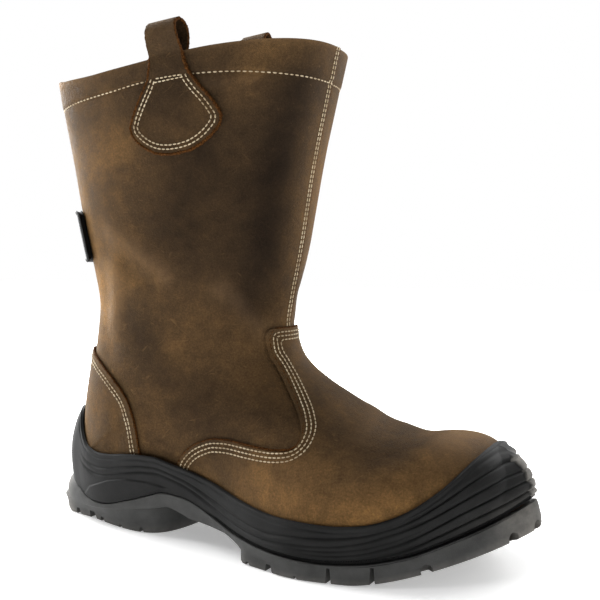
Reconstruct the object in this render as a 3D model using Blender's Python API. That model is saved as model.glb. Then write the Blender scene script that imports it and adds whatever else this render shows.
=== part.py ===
"""Pull-on safety boot for the right foot, EU 43.

x runs from the back of the heel to the toe, y from the outer (lateral) side to the inner (medial) side,
z up from the floor. Sizes are millimetres until a mesh is made. One skin function gives the upper, and the
overlays, loops, badge and moulded cup are all worked out from that skin.
"""
import bmesh
import bpy
import numpy as np
from mathutils import Vector
from mathutils.bvhtree import BVHTree

MM = 0.001
GAP = 0.3                  # air between pieces that meet
WALL = 2.2                 # leather and lining of the upper
OVERLAY = 1.6              # leather of the vamp and the heel counter

COLUMNS = 70               # corners around the sole
BEND_WEIGHT = 18.0         # a radian of bend takes as many corners as this length of straight edge
FEATHER_INSET = 8.5        # from the sole's outline to the upper's lower edge
INSOLE_INSET = 13.0
INSOLE_THICK = 4.0
FLOOR_ROOM = 0.8           # from the upper's lower edge to the cup's floor, which is made of flat strips

# Tread, in side view
HEEL_ROUND = 12.0          # length of the rounded back edge of the heel
HEEL_ROUND_RISE = 6.0
HEEL_FRONT = 97.0          # heel breast
BREAST_RUN = 7.0
WAIST_THICK = 7.5          # sole under the arch
FOREFOOT_BACK = 158.0
SPRING_START = 222.0
TOE_SPRING = 24.5
SOLE_LENGTH = 305.0
TOE_TIP_Y = 8.5
HEEL_KICK = 6.0            # the outsole stands out behind the cup
HEEL_KICK_RUN = 16.0

# Grooves of the tread
GROOVE_DEPTH = 4.5
GROOVE_WIDTH = 5.0
CHANNEL_WIDTH = 6.0
CHANNEL_DEPTH = 3.5
CHANNEL_BACK = 24.0        # back end of the heel's channel
CHANNEL_STOP = 10.0
HEEL_GROOVES = (16.0, 40.0, 64.0)
FOREFOOT_GROOVES = (166.0, 188.0, 211.0, 234.0, 259.0, 283.0)

# Moulded cup
PIVOT_INSET = 36.0         # the cup's wall is drawn as arcs about a line this far inside the outline
LIP = 1.6                  # thickness of the cup's upper edge
CUP_ROOM = 2.8             # from the upper to the cup, for the overlay between them
TOE_ROOM = 1.2             # more of it round the toe, where the facets are steep
TOE_START, TOE_BLEND = 245.0, 15.0
LEAST_SQUARE = 0.35        # limit on how far a slanting line to the skin is carried on for that room
SWELL = 1.6                # above 1 the wall leans in late, and its middle is full
CUP_LINES = (0.14, 0.5, 0.78)
GROOVE = 1.1               # depth of the lines in the side of the cup
POD = 1.6                  # raised lens on the side of the heel
POD_X, POD_RISE = 62.0, 0.3
POD_REACH = 40.0

# Pull loops
LOOP_TAPER = 2.5           # the strap's half width narrows by this at the top of the loop
LOOP_SPREAD = 4.2
LOOP_LEATHER = 1.8
LOOP_INSIDE = 34.0         # how far the inner leg reaches down inside the shaft
FACET = 1.0                # the shaft's flat facets lie up to this much inside its curve
FLARE_RUN = 12.0           # the collar's flare is measured over this height

# Badge on the back of the shaft
BADGE_LOW, BADGE_HIGH = 164.0, 196.0
BADGE_ANGLE = 34.0         # degrees to each side of the back
BADGE_THICK = 4.0
LEG_AXIS_X = 92.0

# Front seam: the outer quarter laps over the inner one, a step in the wall
LAP_EDGE = 0.010           # edge of the lap, as a share of the way from the ridge to the back
LAP_FOOT = 0.019
LAP_FADE = 0.30
LAP_STEP = 1.2


def table(names, rows):
    """Columns of a short table by name."""
    return {name: np.array(values, float) for name, values in zip(names.split(), zip(*rows))}


SOLE_PLAN = table("x lateral medial", (
    (9, 21, 21),
    (40, 37, 36.5),
    (75, 38.5, 36),
    (112, 38.5, 30),
    (150, 54, 37),
    (188, 65, 48),
    (228, 60, 53),
    (262, 43.5, 49),
    (288, 22.5, 34),
))

# Side view of the sole: parting line between outsole and cup, footbed, upper edge of the cup, and how far
# the cup's foot stands back from the outline
SOLE_SIDE = table("x parting footbed top inset", (
    (0, 27, 31, 72, 0.5),
    (14, 22, 31, 72, 1),
    (22, 18.5, 30.8, 65, 2),
    (30, 15.7, 30.5, 48.5, 1.5),
    (42, 14.2, 30.2, 44, 1),
    (66, 19.4, 29.8, 46.2, 1),
    (90, 26.4, 29.6, 47, 1),
    (104, 25.2, 28.6, 43.5, 1),
    (128, 19, 24.4, 37.5, 1),
    (152, 13.8, 19.4, 32, 1),
    (180, 10.7, 16.2, 28.3, 1),
    (206, 9.8, 15.6, 27.3, 1),
    (228, 11.1, 16.8, 29, 1),
    (242, 13.5, 18.6, 33.2, 1),
    (254, 16.6, 21, 40, 1.2),
    (265, 21, 24.6, 49, 1.5),
    (272, 24, 27.2, 58, 1.8),
    (279, 27, 30, 66.5, 2),
    (290, 32.3, 34.8, 82, 2.8),
    (305, 40.5, 42.5, 90, 5),
))

# Sections through the foot. edge is the share of the way along the feather edge from the toe to the heel,
# ridge_x and ridge_z the top of the section, mid_y its middle, lateral and medial its widest half widths.
FOOT = table("edge ridge_x ridge_z mid_y lateral medial fullness", (
    (0.000, 295, 37.5, 8.3, 0, 0, 2.2),
    (0.045, 291.3, 45.5, 8.3, 14, 14, 2.3),
    (0.09, 286.8, 53.8, 8.2, 26, 25, 2.4),
    (0.14, 280.5, 60.6, 8, 37, 33.5, 2.5),
    (0.19, 271.5, 66, 7.5, 46, 38, 2.5),
    (0.25, 255, 68, 6.8, 55, 41, 2.4),
    (0.32, 232, 69.4, 5.8, 62.5, 41.5, 2.3),
    (0.39, 209, 75.2, 5, 63.5, 39.5, 2.15),
    (0.46, 190, 84.3, 4.5, 59.5, 38, 2.05),
    (0.53, 176.5, 93.4, 3.5, 52.5, 37, 2.0),
    (0.60, 168, 99.8, 2.6, 46.5, 37, 2.0),
    (0.67, 162.8, 105, 2, 43.5, 38, 2.0),
    (0.75, 159.2, 110, 1.2, 42, 39, 2.05),
    (0.83, 157, 115, 0.6, 41, 39.5, 2.1),
    (0.90, 155.6, 120, 0.2, 40.5, 40, 2.1),
    (0.96, 155.1, 125, 0, 40.5, 40.2, 2.1),
    (1.00, 154.9, 130, 0, 40.8, 40.5, 2.1),
))

# Sections through the leg, each from the front ridge to a lower point of the back seam
LEG = table("ridge_z back_z lateral medial fullness", (
    (136, 45, 41, 41.5, 2.1),
    (142, 65, 41.5, 42.5, 2.1),
    (148, 90, 42.5, 43.5, 2.1),
    (156, 115, 44, 45, 2.15),
    (166, 137, 46, 47, 2.2),
    (178, 155, 48, 49, 2.25),
    (193, 175, 50, 51, 2.3),
    (211, 196, 52.5, 53.2, 2.35),
    (231, 217, 54.5, 55, 2.35),
    (251, 238, 56.3, 56.5, 2.4),
    (270, 255, 57.8, 57.8, 2.45),
    (287.8, 269.6, 58.8, 59.2, 2.5),
))

FRONT = table("z x", (
    (130, 154.9), (136, 155.7), (145, 157.4), (160, 160.9), (180, 165.2), (200, 168.7),
    (220, 172.2), (240, 176.5), (260, 180.8), (280, 185.2), (292, 187.8),
))

BACK = table("z x", (
    (31, 9.6), (50, 10.2), (65, 11.6), (75, 13.4), (85, 15.7), (95, 18.4), (110, 22.5), (125, 26.4),
    (138, 27.6), (150, 26.2), (160, 24), (180, 19.6), (200, 15.8), (220, 12), (240, 8.2), (260, 4.4), (273, 2),
))

# Edges of the overlays in side view, from the top down
VAMP_EDGE = table("x z", (
    (152, 126), (151.4, 120), (152.5, 113), (158, 104), (166.5, 94), (175, 85), (181.5, 77.5), (185.3, 70.5),
    (185, 65.5), (180, 62.6), (170, 61.8), (154, 62.6), (139, 63.8), (130, 63.4), (121, 60.8), (113, 56.5),
    (105, 48.5), (102, 43),
))
COUNTER_EDGE = table("x z", (
    (0, 110), (24, 109), (35, 105.5), (46, 99.7), (58, 91.3), (66.5, 82.5), (70.8, 74), (73.7, 63), (76, 48),
    (77, 38),
))
TUCK = 7.0                 # how far the overlays run down behind the cup's edge
VAMP_LOW_X = (102, 118, 134, 152, 180, 206, 228, 242, 254)
VAMP_TOE = table("x z", ((268, 44), (280, 56), (290, 66), (290, 90), (200, 126)))
COUNTER_LOW_X = (66, 42, 34)
COUNTER_BACK = table("x z", ((22, 54), (-5, 60), (-5, 112)))
OUTLINE_REACH = 90.0       # the outlines are cut through to this far on both sides

# Pull loops: side, place along the collar, height above it
LOOPS = table("sign x height", (
    (-1, 109.5, 16.2),
    (1, 98, 35),
))

# Half width of the loop's strap and spade patch, by height below the collar's edge
SPADE = table("below half", (
    (0, 12), (8, 13.2), (14, 15), (20, 18.5), (26, 22.5), (32, 26), (37, 27.8), (41, 27), (45, 24),
    (49, 19.5), (52, 14.5), (54.3, 8),
))


def smooth(keys, values):
    """Curve through a table's points that doesn't overshoot them."""
    step = np.diff(keys)
    rise = np.diff(values) / step
    slope = np.zeros(len(keys))
    slope[0], slope[-1] = rise[0], rise[-1]
    for k in range(1, len(keys) - 1):
        if rise[k - 1] * rise[k] > 0:
            before, after = 2 * step[k] + step[k - 1], step[k] + 2 * step[k - 1]
            slope[k] = (before + after) / (before / rise[k - 1] + after / rise[k])

    def at(x):
        x = np.clip(x, keys[0], keys[-1])
        k = np.clip(np.searchsorted(keys, x) - 1, 0, len(step) - 1)
        s = (x - keys[k]) / step[k]
        start = (1 + 2 * s) * (1 - s) ** 2 * values[k] + s * (1 - s) ** 2 * step[k] * slope[k]
        end = s * s * (3 - 2 * s) * values[k + 1] - s * s * (1 - s) * step[k] * slope[k + 1]
        return start + end
    return at


def closed_curve(points, count):
    """Samples of the smooth closed curve through some points, closer together where it bends."""
    points = np.array(points, float)
    total = len(points)
    step = np.linalg.norm(np.roll(points, -1, 0) - points, axis=1)
    matrix, right = np.zeros((total, total)), np.zeros(points.shape)
    for k in range(total):
        after = (k + 1) % total
        matrix[k, k - 1] += step[k - 1]
        matrix[k, k] += 2 * (step[k - 1] + step[k])
        matrix[k, after] += step[k]
        right[k] = 6 * ((points[after] - points[k]) / step[k] - (points[k] - points[k - 1]) / step[k - 1])
    bend = np.linalg.solve(matrix, right)
    fine = []
    for k in range(total):
        after = (k + 1) % total
        for s in np.linspace(0, 1, 40, endpoint=False):
            r = 1 - s
            cubic = (r ** 3 - r) * bend[k] + (s ** 3 - s) * bend[after]
            fine.append(r * points[k] + s * points[after] + step[k] ** 2 / 6 * cubic)
    fine = np.array(fine + fine[:1])
    sides = np.diff(fine, axis=0)
    headings = np.arctan2(sides[:, 1], sides[:, 0])
    turns = np.abs((headings - np.roll(headings, 1) + np.pi) % (2 * np.pi) - np.pi)
    run = np.append(0, np.cumsum(np.linalg.norm(sides, axis=1) + BEND_WEIGHT * turns))
    wanted = np.linspace(0, run[-1], count, endpoint=False)
    return np.stack([np.interp(wanted, run, fine[:, axis]) for axis in (0, 1)], 1)


def sole_outline(count, grow=0.0):
    """Plan of the sole from the back of the heel along the outer side, round the toe and back."""
    outer = list(zip(SOLE_PLAN["x"], -SOLE_PLAN["lateral"]))
    inner = list(zip(SOLE_PLAN["x"], SOLE_PLAN["medial"]))
    plan = closed_curve([(0, 0)] + outer + [(SOLE_LENGTH, TOE_TIP_Y)] + inner[::-1], count)
    return plan + grow * outward(plan)


def outward(plan):
    """Unit vectors that point out of a closed plan curve."""
    along = np.roll(plan, -1, 0) - np.roll(plan, 1, 0)
    along /= np.linalg.norm(along, axis=1)[:, None]
    return np.stack([along[:, 1], -along[:, 0]], 1)


parting_z = smooth(SOLE_SIDE["x"], SOLE_SIDE["parting"])
footbed_z = smooth(SOLE_SIDE["x"], SOLE_SIDE["footbed"])
cup_top_z = smooth(SOLE_SIDE["x"], SOLE_SIDE["top"])
cup_inset = smooth(SOLE_SIDE["x"], SOLE_SIDE["inset"])
front_x = smooth(FRONT["z"], FRONT["x"])
back_x = smooth(BACK["z"], BACK["x"])


def tread_z(x):
    """Underside of the sole: heel, breast, arch, forefoot and toe spring."""
    heel = HEEL_ROUND_RISE * np.clip(1 - x / HEEL_ROUND, 0, 1) ** 2
    breast = np.clip((x - HEEL_FRONT) / BREAST_RUN, 0, 1)
    fore = np.clip((FOREFOOT_BACK - x) / BREAST_RUN, 0, 1)
    arch = np.minimum(breast, fore) * (parting_z(x) - WAIST_THICK)
    spring = TOE_SPRING * np.clip((x - SPRING_START) / (SOLE_LENGTH - SPRING_START), 0, 1) ** 1.5
    return heel + arch + spring


def make(name, points, faces, colour, roughness):
    """One mesh object from millimetre points, with its own material."""
    mesh = bpy.data.meshes.new(name)
    mesh.from_pydata([tuple(np.asarray(p) * MM) for p in points], [], faces)
    material = bpy.data.materials.new(name)
    material.use_nodes = True
    shader = material.node_tree.nodes["Principled BSDF"]
    shader.inputs["Base Color"].default_value = (*colour, 1)
    shader.inputs["Roughness"].default_value = roughness
    mesh.materials.append(material)
    item = bpy.data.objects.new(name, mesh)
    bpy.context.collection.objects.link(item)
    return item


def weld(item):
    """Joins points that coincide and rounds the shading."""
    work = bmesh.new()
    work.from_mesh(item.data)
    bmesh.ops.remove_doubles(work, verts=work.verts, dist=0.02 * MM)
    work.to_mesh(item.data)
    work.free()
    item.data.shade_smooth()
    item.data.set_sharp_from_angle(angle=0.7)


def thicken(item, thick, offset):
    """Wall of even thickness, inwards for offset -1 and outwards for 1."""
    wall = item.modifiers.new("wall", "SOLIDIFY")
    wall.thickness = thick * MM
    wall.offset = offset
    wall.use_even_offset = True


def boolean(item, cutter, operation):
    """Cuts with another object, which stays as a guide."""
    cutter.hide_render = True
    cutter.display_type = "WIRE"
    cut = item.modifiers.new(cutter.name, "BOOLEAN")
    cut.object = cutter
    cut.operation = operation
    cut.solver = "EXACT"


def guide(name, points, faces):
    """Closed cutter with its faces turned out."""
    mesh = bpy.data.meshes.new(name)
    mesh.from_pydata([tuple(np.asarray(p) * MM) for p in points], [], faces)
    work = bmesh.new()
    work.from_mesh(mesh)
    bmesh.ops.recalc_face_normals(work, faces=work.faces)
    work.to_mesh(mesh)
    work.free()
    item = bpy.data.objects.new(name, mesh)
    bpy.context.collection.objects.link(item)
    return item


def grid_faces(rows, columns, first=0):
    """Quads of a grid of points stored row by row."""
    faces = []
    for i in range(rows - 1):
        for j in range(columns - 1):
            a = first + i * columns + j
            faces.append((a, a + 1, a + columns + 1, a + columns))
    return faces


def ring_faces(rings, columns):
    """Quads between rings of points, and strips across the first and last ring."""
    faces = []
    for i in range(rings - 1):
        for j in range(columns):
            after = (j + 1) % columns
            low, high = i * columns, (i + 1) * columns
            faces.append((low + j, low + after, high + after, high + j))
    top = (rings - 1) * columns
    for j in range(columns // 2):
        left, right = j, (columns - j) % columns
        after_left, after_right = j + 1, columns - j - 1
        strip = [left, after_left, after_right, right]
        corners = [k for n, k in enumerate(strip) if k not in strip[:n]]
        if len(corners) > 2:
            faces.append(tuple(reversed(corners)))
            faces.append(tuple(top + k for k in corners))
    return faces


def feather_paths():
    """Feather edge from the toe to the heel along the outer side, and along the inner side."""
    plan = sole_outline(1200, -FEATHER_INSET)
    tip = int(plan[:, 0].argmax())
    outer = plan[:tip + 1][::-1]
    inner = np.vstack([plan[tip:], plan[:1]])
    return outer, inner


def along(path, share):
    """Point of a path at a share of its length."""
    run = np.append(0, np.cumsum(np.linalg.norm(np.diff(path, axis=0), axis=1)))
    return np.array([np.interp(share * run[-1], run, path[:, axis]) for axis in (0, 1)])


def upper_sections():
    """Rows of the foot and leg tables as ridge points, end points, half widths and fullness."""
    outer, inner = feather_paths()
    rows = []
    for k, share in enumerate(FOOT["edge"]):
        ends = []
        for path in (outer, inner):
            x, y = along(path, share)
            ends += [x, y, footbed_z(x)]
        ridge = [FOOT["ridge_x"][k], FOOT["mid_y"][k], FOOT["ridge_z"][k]] if share > 0 else ends[:3]
        widths = [FOOT[name][k] for name in ("lateral", "medial", "fullness")]
        rows.append(ridge + ends + widths)
    for k, top in enumerate(LEG["ridge_z"]):
        low = LEG["back_z"][k]
        end = [back_x(low), 0, low]
        widths = [LEG[name][k] for name in ("lateral", "medial", "fullness")]
        rows.append([front_x(top), 0, top] + end + end + widths)
    return np.array(rows)


def around_shares(sign, fineness=1):
    """Share of the way from the ridge to the rim for each column of one side."""
    front = [0, 0.07, 0.14] if sign < 0 else [0, LAP_EDGE, LAP_FOOT, 0.07, 0.14]
    shares = np.array(front + list(np.linspace(0.22, 1, 10)))
    places = np.arange(len(shares))
    return np.interp(np.arange(0, places[-1] + 1e-6, 1 / fineness), places, shares)


def upper_grid(fineness=1):
    """Outer skin of the upper: a row of points for each station, from the outer rim over the ridge."""
    stations = (STATIONS - 1) * fineness + 1
    sections = upper_sections()
    rows = np.arange(len(sections))
    wanted = np.linspace(0, len(sections) - 1, stations)
    blend = np.stack([smooth(rows, sections[:, c])(wanted) for c in range(sections.shape[1])], 1)
    lapped = np.clip(wanted - len(FOOT["edge"]) + 2, 0, 1)
    grid = []
    for row, lap in zip(blend, lapped):
        ridge, full = row[:3], 2 / row[11]
        sides = []
        for sign, end, half in ((-1, row[3:6], row[9]), (1, row[6:9], row[10])):
            shares = around_shares(sign, fineness)
            reach = min(abs(end[1] - ridge[1]) / max(half, 1e-6), 1)
            sweep = np.pi - np.arcsin(reach ** (1 / full))
            angle = shares * sweep
            curl = np.sign(np.cos(angle)) * np.abs(np.cos(angle)) ** full
            last = np.sign(np.cos(sweep)) * np.abs(np.cos(sweep)) ** full
            under = (sign > 0) * (shares >= LAP_FOOT) * np.clip(1 - shares / LAP_FADE, 0, 1)
            sunk = LAP_STEP * lap * under / max(np.linalg.norm(end - ridge), 1)
            down = (1 - curl) / (1 - last) + sunk
            x = ridge[0] + (end[0] - ridge[0]) * down
            z = ridge[2] + (end[2] - ridge[2]) * down
            y = ridge[1] + sign * half * np.abs(np.sin(angle)) ** full
            y[-1] = end[1]
            sides.append(np.stack([x, y, z], 1))
        grid.append(np.vstack([sides[0][::-1], sides[1][1:]]))
    return np.array(grid)


LEATHER = (0.115, 0.055, 0.022)
STATIONS = 35
FINE = 5                   # the skin that other pieces lie on is this much finer


class Skin:
    """The upper's outer skin as a surface that other pieces lie on, in millimetres."""

    def __init__(self):
        grid = upper_grid()
        rows, columns = grid.shape[:2]
        shares = np.append(-around_shares(-1)[::-1], around_shares(1)[1:])
        middle = (shares[1:] + shares[:-1]) / 2
        last_section = len(FOOT["edge"]) + len(LEG["ridge_z"]) - 1
        self.mesh = bmesh.new()
        verts = [self.mesh.verts.new(point) for point in grid.reshape(-1, 3)]
        row_layer = self.mesh.faces.layers.float.new("section")
        share_layer = self.mesh.faces.layers.float.new("share")
        for n, corners in enumerate(grid_faces(rows, columns)):
            face = self.mesh.faces.new([verts[k] for k in corners])
            face[row_layer] = (n // (columns - 1) + 0.5) / (rows - 1) * last_section
            face[share_layer] = middle[n % (columns - 1)]
        bmesh.ops.remove_doubles(self.mesh, verts=self.mesh.verts, dist=0.02)
        bmesh.ops.triangulate(self.mesh, faces=self.mesh.faces, quad_method="SHORT_EDGE")
        self.mesh.normal_update()
        fine = upper_grid(FINE)
        self.tree = BVHTree.FromPolygons(fine.reshape(-1, 3).tolist(), grid_faces(*fine.shape[:2]))
        self.collar_low = np.array([back_x(LEG["back_z"][-1]), LEG["back_z"][-1]])
        self.collar_high = np.array([front_x(LEG["ridge_z"][-1]), LEG["ridge_z"][-1]])

    def copy(self, name, lift, keep):
        """Leather object on the skin, raised by lift, of the faces whose section and share are kept."""
        work = self.mesh.copy()
        work.normal_update()
        for vert in work.verts:
            vert.co = (vert.co + vert.normal * lift) * MM
        section, share = work.faces.layers.float["section"], work.faces.layers.float["share"]
        spare = [face for face in work.faces if not keep(face[section], face[share])]
        bmesh.ops.delete(work, geom=spare, context="FACES")
        item = make(name, [], [], LEATHER, 0.55)
        work.to_mesh(item.data)
        work.free()
        item.data.shade_smooth()
        item.data.set_sharp_from_angle(angle=0.7)
        return item

    def meet(self, start, direction):
        """Point where a line from inside meets the skin and how squarely it does, or None."""
        heading = Vector(direction).normalized()
        point, normal = self.tree.ray_cast(Vector(start), heading)[:2]
        return None if point is None else (np.array(point), abs(heading.dot(normal)))

    def hit(self, start, direction):
        """Point where a line from inside meets the skin."""
        return self.meet(start, direction)[0]

    def collar_z(self, x):
        """Height of the collar's edge."""
        share = (x - self.collar_low[0]) / (self.collar_high[0] - self.collar_low[0])
        return self.collar_low[1] + share * (self.collar_high[1] - self.collar_low[1])

    def side_y(self, x, z, sign):
        """Half width of the shaft at a height, carried on straight above the collar."""
        edge = self.collar_z(x) - 2
        levels = (min(z, edge), edge - FLARE_RUN, edge)
        here, lower, rim = [abs(self.hit((x, 0, level), (0, sign, 0))[1]) for level in levels]
        return here + max(z - edge, 0) * (rim - lower) / FLARE_RUN


def build_upper(skin):
    """Foot and leg in one wall, open at the collar and underneath."""
    upper = skin.copy("upper", 0, lambda section, share: True)
    thicken(upper, WALL, -1)
    return upper


def overlay(name, skin, edge, keep):
    """Leather laid on the skin and cut by an outline in side view."""
    item = skin.copy(name, GAP, keep)
    thicken(item, OVERLAY, 1)
    count = len(edge)
    points = [(x, y, z) for y in (-OUTLINE_REACH, OUTLINE_REACH) for x, z in edge]
    faces = [tuple(range(count)), tuple(range(count, 2 * count))]
    for k in range(count):
        after = (k + 1) % count
        faces.append((k, after, count + after, count + k))
    boolean(item, guide(name + "_outline", points, faces), "INTERSECT")
    return item


def build_vamp(skin):
    """Overlay of the forefoot: its edge crosses the throat and runs back along the sole as a tail."""
    edge = list(zip(*VAMP_EDGE.values()))
    low = [(x, cup_top_z(x) - TUCK) for x in VAMP_LOW_X]
    toe = list(zip(*VAMP_TOE.values()))
    return overlay("vamp", skin, edge + low + toe, lambda section, share: 2 < section < 17)


def build_counter(skin):
    """Overlay round the heel."""
    edge = list(zip(*COUNTER_EDGE.values()))
    low = [(x, cup_top_z(x) - TUCK) for x in COUNTER_LOW_X]
    back = list(zip(*COUNTER_BACK.values()))

    def at_heel(section, share):
        return 10.5 < section < 21 and abs(share) > 0.4
    return overlay("heel_counter", skin, edge + low + back, at_heel)


def cup_lines(x, rise):
    """Height of the lines and the raised pod on the side of the cup, by place and share of its height."""
    lines = 0.0
    for level in CUP_LINES:
        lines -= GROOVE * np.exp(-((rise - level) / 0.035) ** 2)
    heel_pod = np.clip(1 - ((x - POD_X) / POD_REACH) ** 2, 0, 1) * np.exp(-((rise - POD_RISE) / 0.11) ** 2)
    return lines + POD * heel_pod


RISES = (0, 0.09, 0.14, 0.19, 0.33, 0.45, 0.5, 0.55, 0.66, 0.73, 0.78, 0.83, 0.93, 1)


def build_midsole(skin):
    """Moulded cup: ribbed side, heel spur and toe bumper, hollow inside for the upper."""
    plan = sole_outline(COLUMNS)
    inward = -outward(plan)
    outer, inner = [], []
    for corner, to_inside in zip(plan, inward):
        pivot = np.append(corner + to_inside * PIVOT_INSET, parting_z(corner[0]))
        spread = np.append(-to_inside, 0)
        up = np.array([0, 0, 1.0])
        hits = []
        for angle in np.linspace(0.02, 1.45, 240):
            met = skin.meet(pivot, spread * np.cos(angle) + up * np.sin(angle))
            if met is not None:
                point, square = met
                if point[2] > cup_top_z(point[0]):
                    break
                hits.append((angle, np.linalg.norm(point - pivot), max(square, LEAST_SQUARE)))
        angles, lengths, squares = np.array(hits).T
        toe = np.clip((corner[0] - TOE_START) / TOE_BLEND, 0, 1)
        inside = lengths + (CUP_ROOM + TOE_ROOM * toe) / squares
        outside = inside + LIP / squares
        top = angles[-1]
        rim = inside[-1] * np.array([np.cos(top), np.sin(top)]) + (LIP, 0)
        rim_angle, last = np.arctan2(rim[1], rim[0]), np.hypot(*rim)
        first = PIVOT_INSET - cup_inset(corner[0])
        column = []
        for rise in RISES:
            angle = rise * rim_angle
            length = first + (last - first) * rise ** SWELL
            if rise < 1:
                length = max(length, np.interp(angle, angles, outside, left=0))
            length += cup_lines(corner[0], rise)
            column.append(pivot + length * (spread * np.cos(angle) + up * np.sin(angle)))
        column[0] = np.append(corner + to_inside * cup_inset(corner[0]), parting_z(corner[0]) + GAP)
        outer.append(column)
        column = []
        for share in (1, 0.7, 0.4, 0.15, 0):
            angle = angles[0] + share * (top - angles[0])
            length = np.interp(angle, angles, inside)
            column.append(pivot + length * (spread * np.cos(angle) + up * np.sin(angle)))
        foot = column[-1].copy()
        foot[2] = footbed_z(foot[0]) - FLOOR_ROOM
        column[-1] = foot
        inner.append(column)
    rings = [[column[k] for column in outer] for k in range(len(RISES))]
    rings += [[column[k] for column in inner] for k in range(5)]
    points = np.array(rings).reshape(-1, 3)
    midsole = make("midsole", points, ring_faces(len(rings), COLUMNS), (0.012, 0.012, 0.012), 0.6)
    weld(midsole)
    return midsole


# Side of the outsole from the tread up: share of its height, and how far it stands out
OUTSOLE_SIDE = table("share grow", (
    (0, -1.6), (0.16, -0.4), (0.46, 0.4), (0.54, -0.6), (0.86, -0.2), (1, -0.4),
))


def build_outsole():
    """Tread with heel, arch, lugs and toe spring."""
    rings = []
    for share, grow in zip(OUTSOLE_SIDE["share"], OUTSOLE_SIDE["grow"]):
        plan = sole_outline(COLUMNS)
        kick = HEEL_KICK * np.exp(-(plan[:, 0] / HEEL_KICK_RUN) ** 2) * (1 - share)
        plan = plan + outward(plan) * (grow + kick)[:, None]
        low, high = tread_z(plan[:, 0]), parting_z(plan[:, 0]) - GAP / 2
        rings.append(np.column_stack([plan, low + share * (high - low)]))
    points = np.vstack(rings)
    outsole = make("outsole", points, ring_faces(len(rings), COLUMNS), (0.035, 0.035, 0.034), 0.75)
    weld(outsole)
    boolean(outsole, groove_cutter("cross_grooves", cross_grooves()), "DIFFERENCE")
    boolean(outsole, groove_cutter("long_grooves", long_grooves()), "DIFFERENCE")
    return outsole


def cross_grooves():
    """Grooves across the tread, as boxes of low and high corners."""
    boxes = []
    for x in HEEL_GROOVES + FOREFOOT_GROOVES:
        floor = tread_z(x)
        low = (x - GROOVE_WIDTH / 2, -OUTLINE_REACH, floor - 2 * GROOVE_DEPTH)
        high = (x + GROOVE_WIDTH / 2, OUTLINE_REACH, floor + GROOVE_DEPTH)
        boxes.append((low, high))
    return boxes


def long_grooves():
    """Channels along the tread, heel and forefoot."""
    half, low = CHANNEL_WIDTH / 2, -CHANNEL_DEPTH
    heel = ((CHANNEL_BACK, -half, low), (HEEL_FRONT - CHANNEL_STOP, half, CHANNEL_DEPTH))
    fore = ((FOREFOOT_BACK + CHANNEL_STOP, -half, low), (SPRING_START + CHANNEL_STOP, half, CHANNEL_DEPTH))
    return [heel, fore]


def groove_cutter(name, boxes):
    """Separate boxes as one cutter."""
    points, faces = [], []
    for low, high in boxes:
        start = len(points)
        points += [(x, y, z) for x in (low[0], high[0]) for y in (low[1], high[1]) for z in (low[2], high[2])]
        for face in ((0, 1, 3, 2), (4, 6, 7, 5), (0, 4, 5, 1), (2, 3, 7, 6), (0, 2, 6, 4), (1, 5, 7, 3)):
            faces.append(tuple(start + k for k in face))
    return guide(name, points, faces)


def build_insole():
    """Loose footbed between the walls of the upper."""
    plan = sole_outline(COLUMNS, -INSOLE_INSET)
    floor = footbed_z(plan[:, 0]) - FLOOR_ROOM + 2 * GAP
    rings = [np.column_stack([plan, floor + rise]) for rise in (0, INSOLE_THICK)]
    insole = make("insole", np.vstack(rings), ring_faces(2, COLUMNS), (0.03, 0.028, 0.026), 0.95)
    weld(insole)
    return insole


def build_loop(name, skin, sign, middle, height):
    """Strap from its spade patch up over the collar and down inside the shaft."""
    half = smooth(SPADE["below"], SPADE["half"])
    rows = [(GAP, -below, half(below)) for below in SPADE["below"][:0:-1]]
    inside = -WALL - GAP - FACET
    for angle in np.linspace(0, np.pi, 13):
        sway = (GAP + inside) / 2 + (GAP - inside) / 2 * np.cos(angle) + LOOP_SPREAD * np.sin(2 * angle)
        rows.append((sway, height * np.sin(angle), SPADE["half"][0] - LOOP_TAPER * np.sin(angle)))
    rows += [(inside, -below, SPADE["half"][0]) for below in (LOOP_INSIDE / 2, LOOP_INSIDE)]
    points = []
    shares = np.linspace(-1, 1, 5)
    for stand_off, rise, width in rows:
        for share in shares:
            x = middle + share * width
            z = skin.collar_z(x) + rise
            points.append((x, sign * (skin.side_y(x, z, sign) + stand_off), z))
    faces = grid_faces(len(rows), len(shares))
    if sign > 0:
        faces = [tuple(reversed(face)) for face in faces]
    loop = make(name, points, faces, LEATHER, 0.55)
    weld(loop)
    thicken(loop, LOOP_LEATHER, 1)
    return loop


def build_badge(skin):
    """Plain moulded tab round the back of the shaft."""
    levels = np.array((0, 0.05, 0.14, 0.5, 0.86, 0.95, 1))
    widths = np.array((0.88, 0.97, 1, 1, 1, 0.97, 0.88))
    shares = np.linspace(-1, 1, 13)
    points = []
    for level, width in zip(levels, widths):
        z = BADGE_LOW + level * (BADGE_HIGH - BADGE_LOW)
        for share in shares:
            angle = np.radians(BADGE_ANGLE * width * share)
            direction = np.array((-np.cos(angle), -np.sin(angle), 0))
            points.append(skin.hit((LEG_AXIS_X, 0, z), direction) + direction * GAP)
    faces = grid_faces(len(levels), len(shares))
    badge = make("back_badge", points, faces, (0.01, 0.01, 0.01), 0.4)
    weld(badge)
    thicken(badge, BADGE_THICK, 1)
    return badge


def stand_on_origin(items):
    """Parents the pieces to an empty, so that the middle of the part's underside is the origin."""
    bpy.context.view_layer.update()
    graph = bpy.context.evaluated_depsgraph_get()
    corners = []
    for item in items:
        shape = item.evaluated_get(graph).to_mesh()
        corners += [vert.co.copy() for vert in shape.vertices]
    places = np.array(corners)
    low, high = places.min(0), places.max(0)
    base = bpy.data.objects.new("boot", None)
    bpy.context.collection.objects.link(base)
    base.location = (-(low[0] + high[0]) / 2, -(low[1] + high[1]) / 2, -low[2])
    for item in bpy.data.objects:
        if item != base:
            item.parent = base


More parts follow.
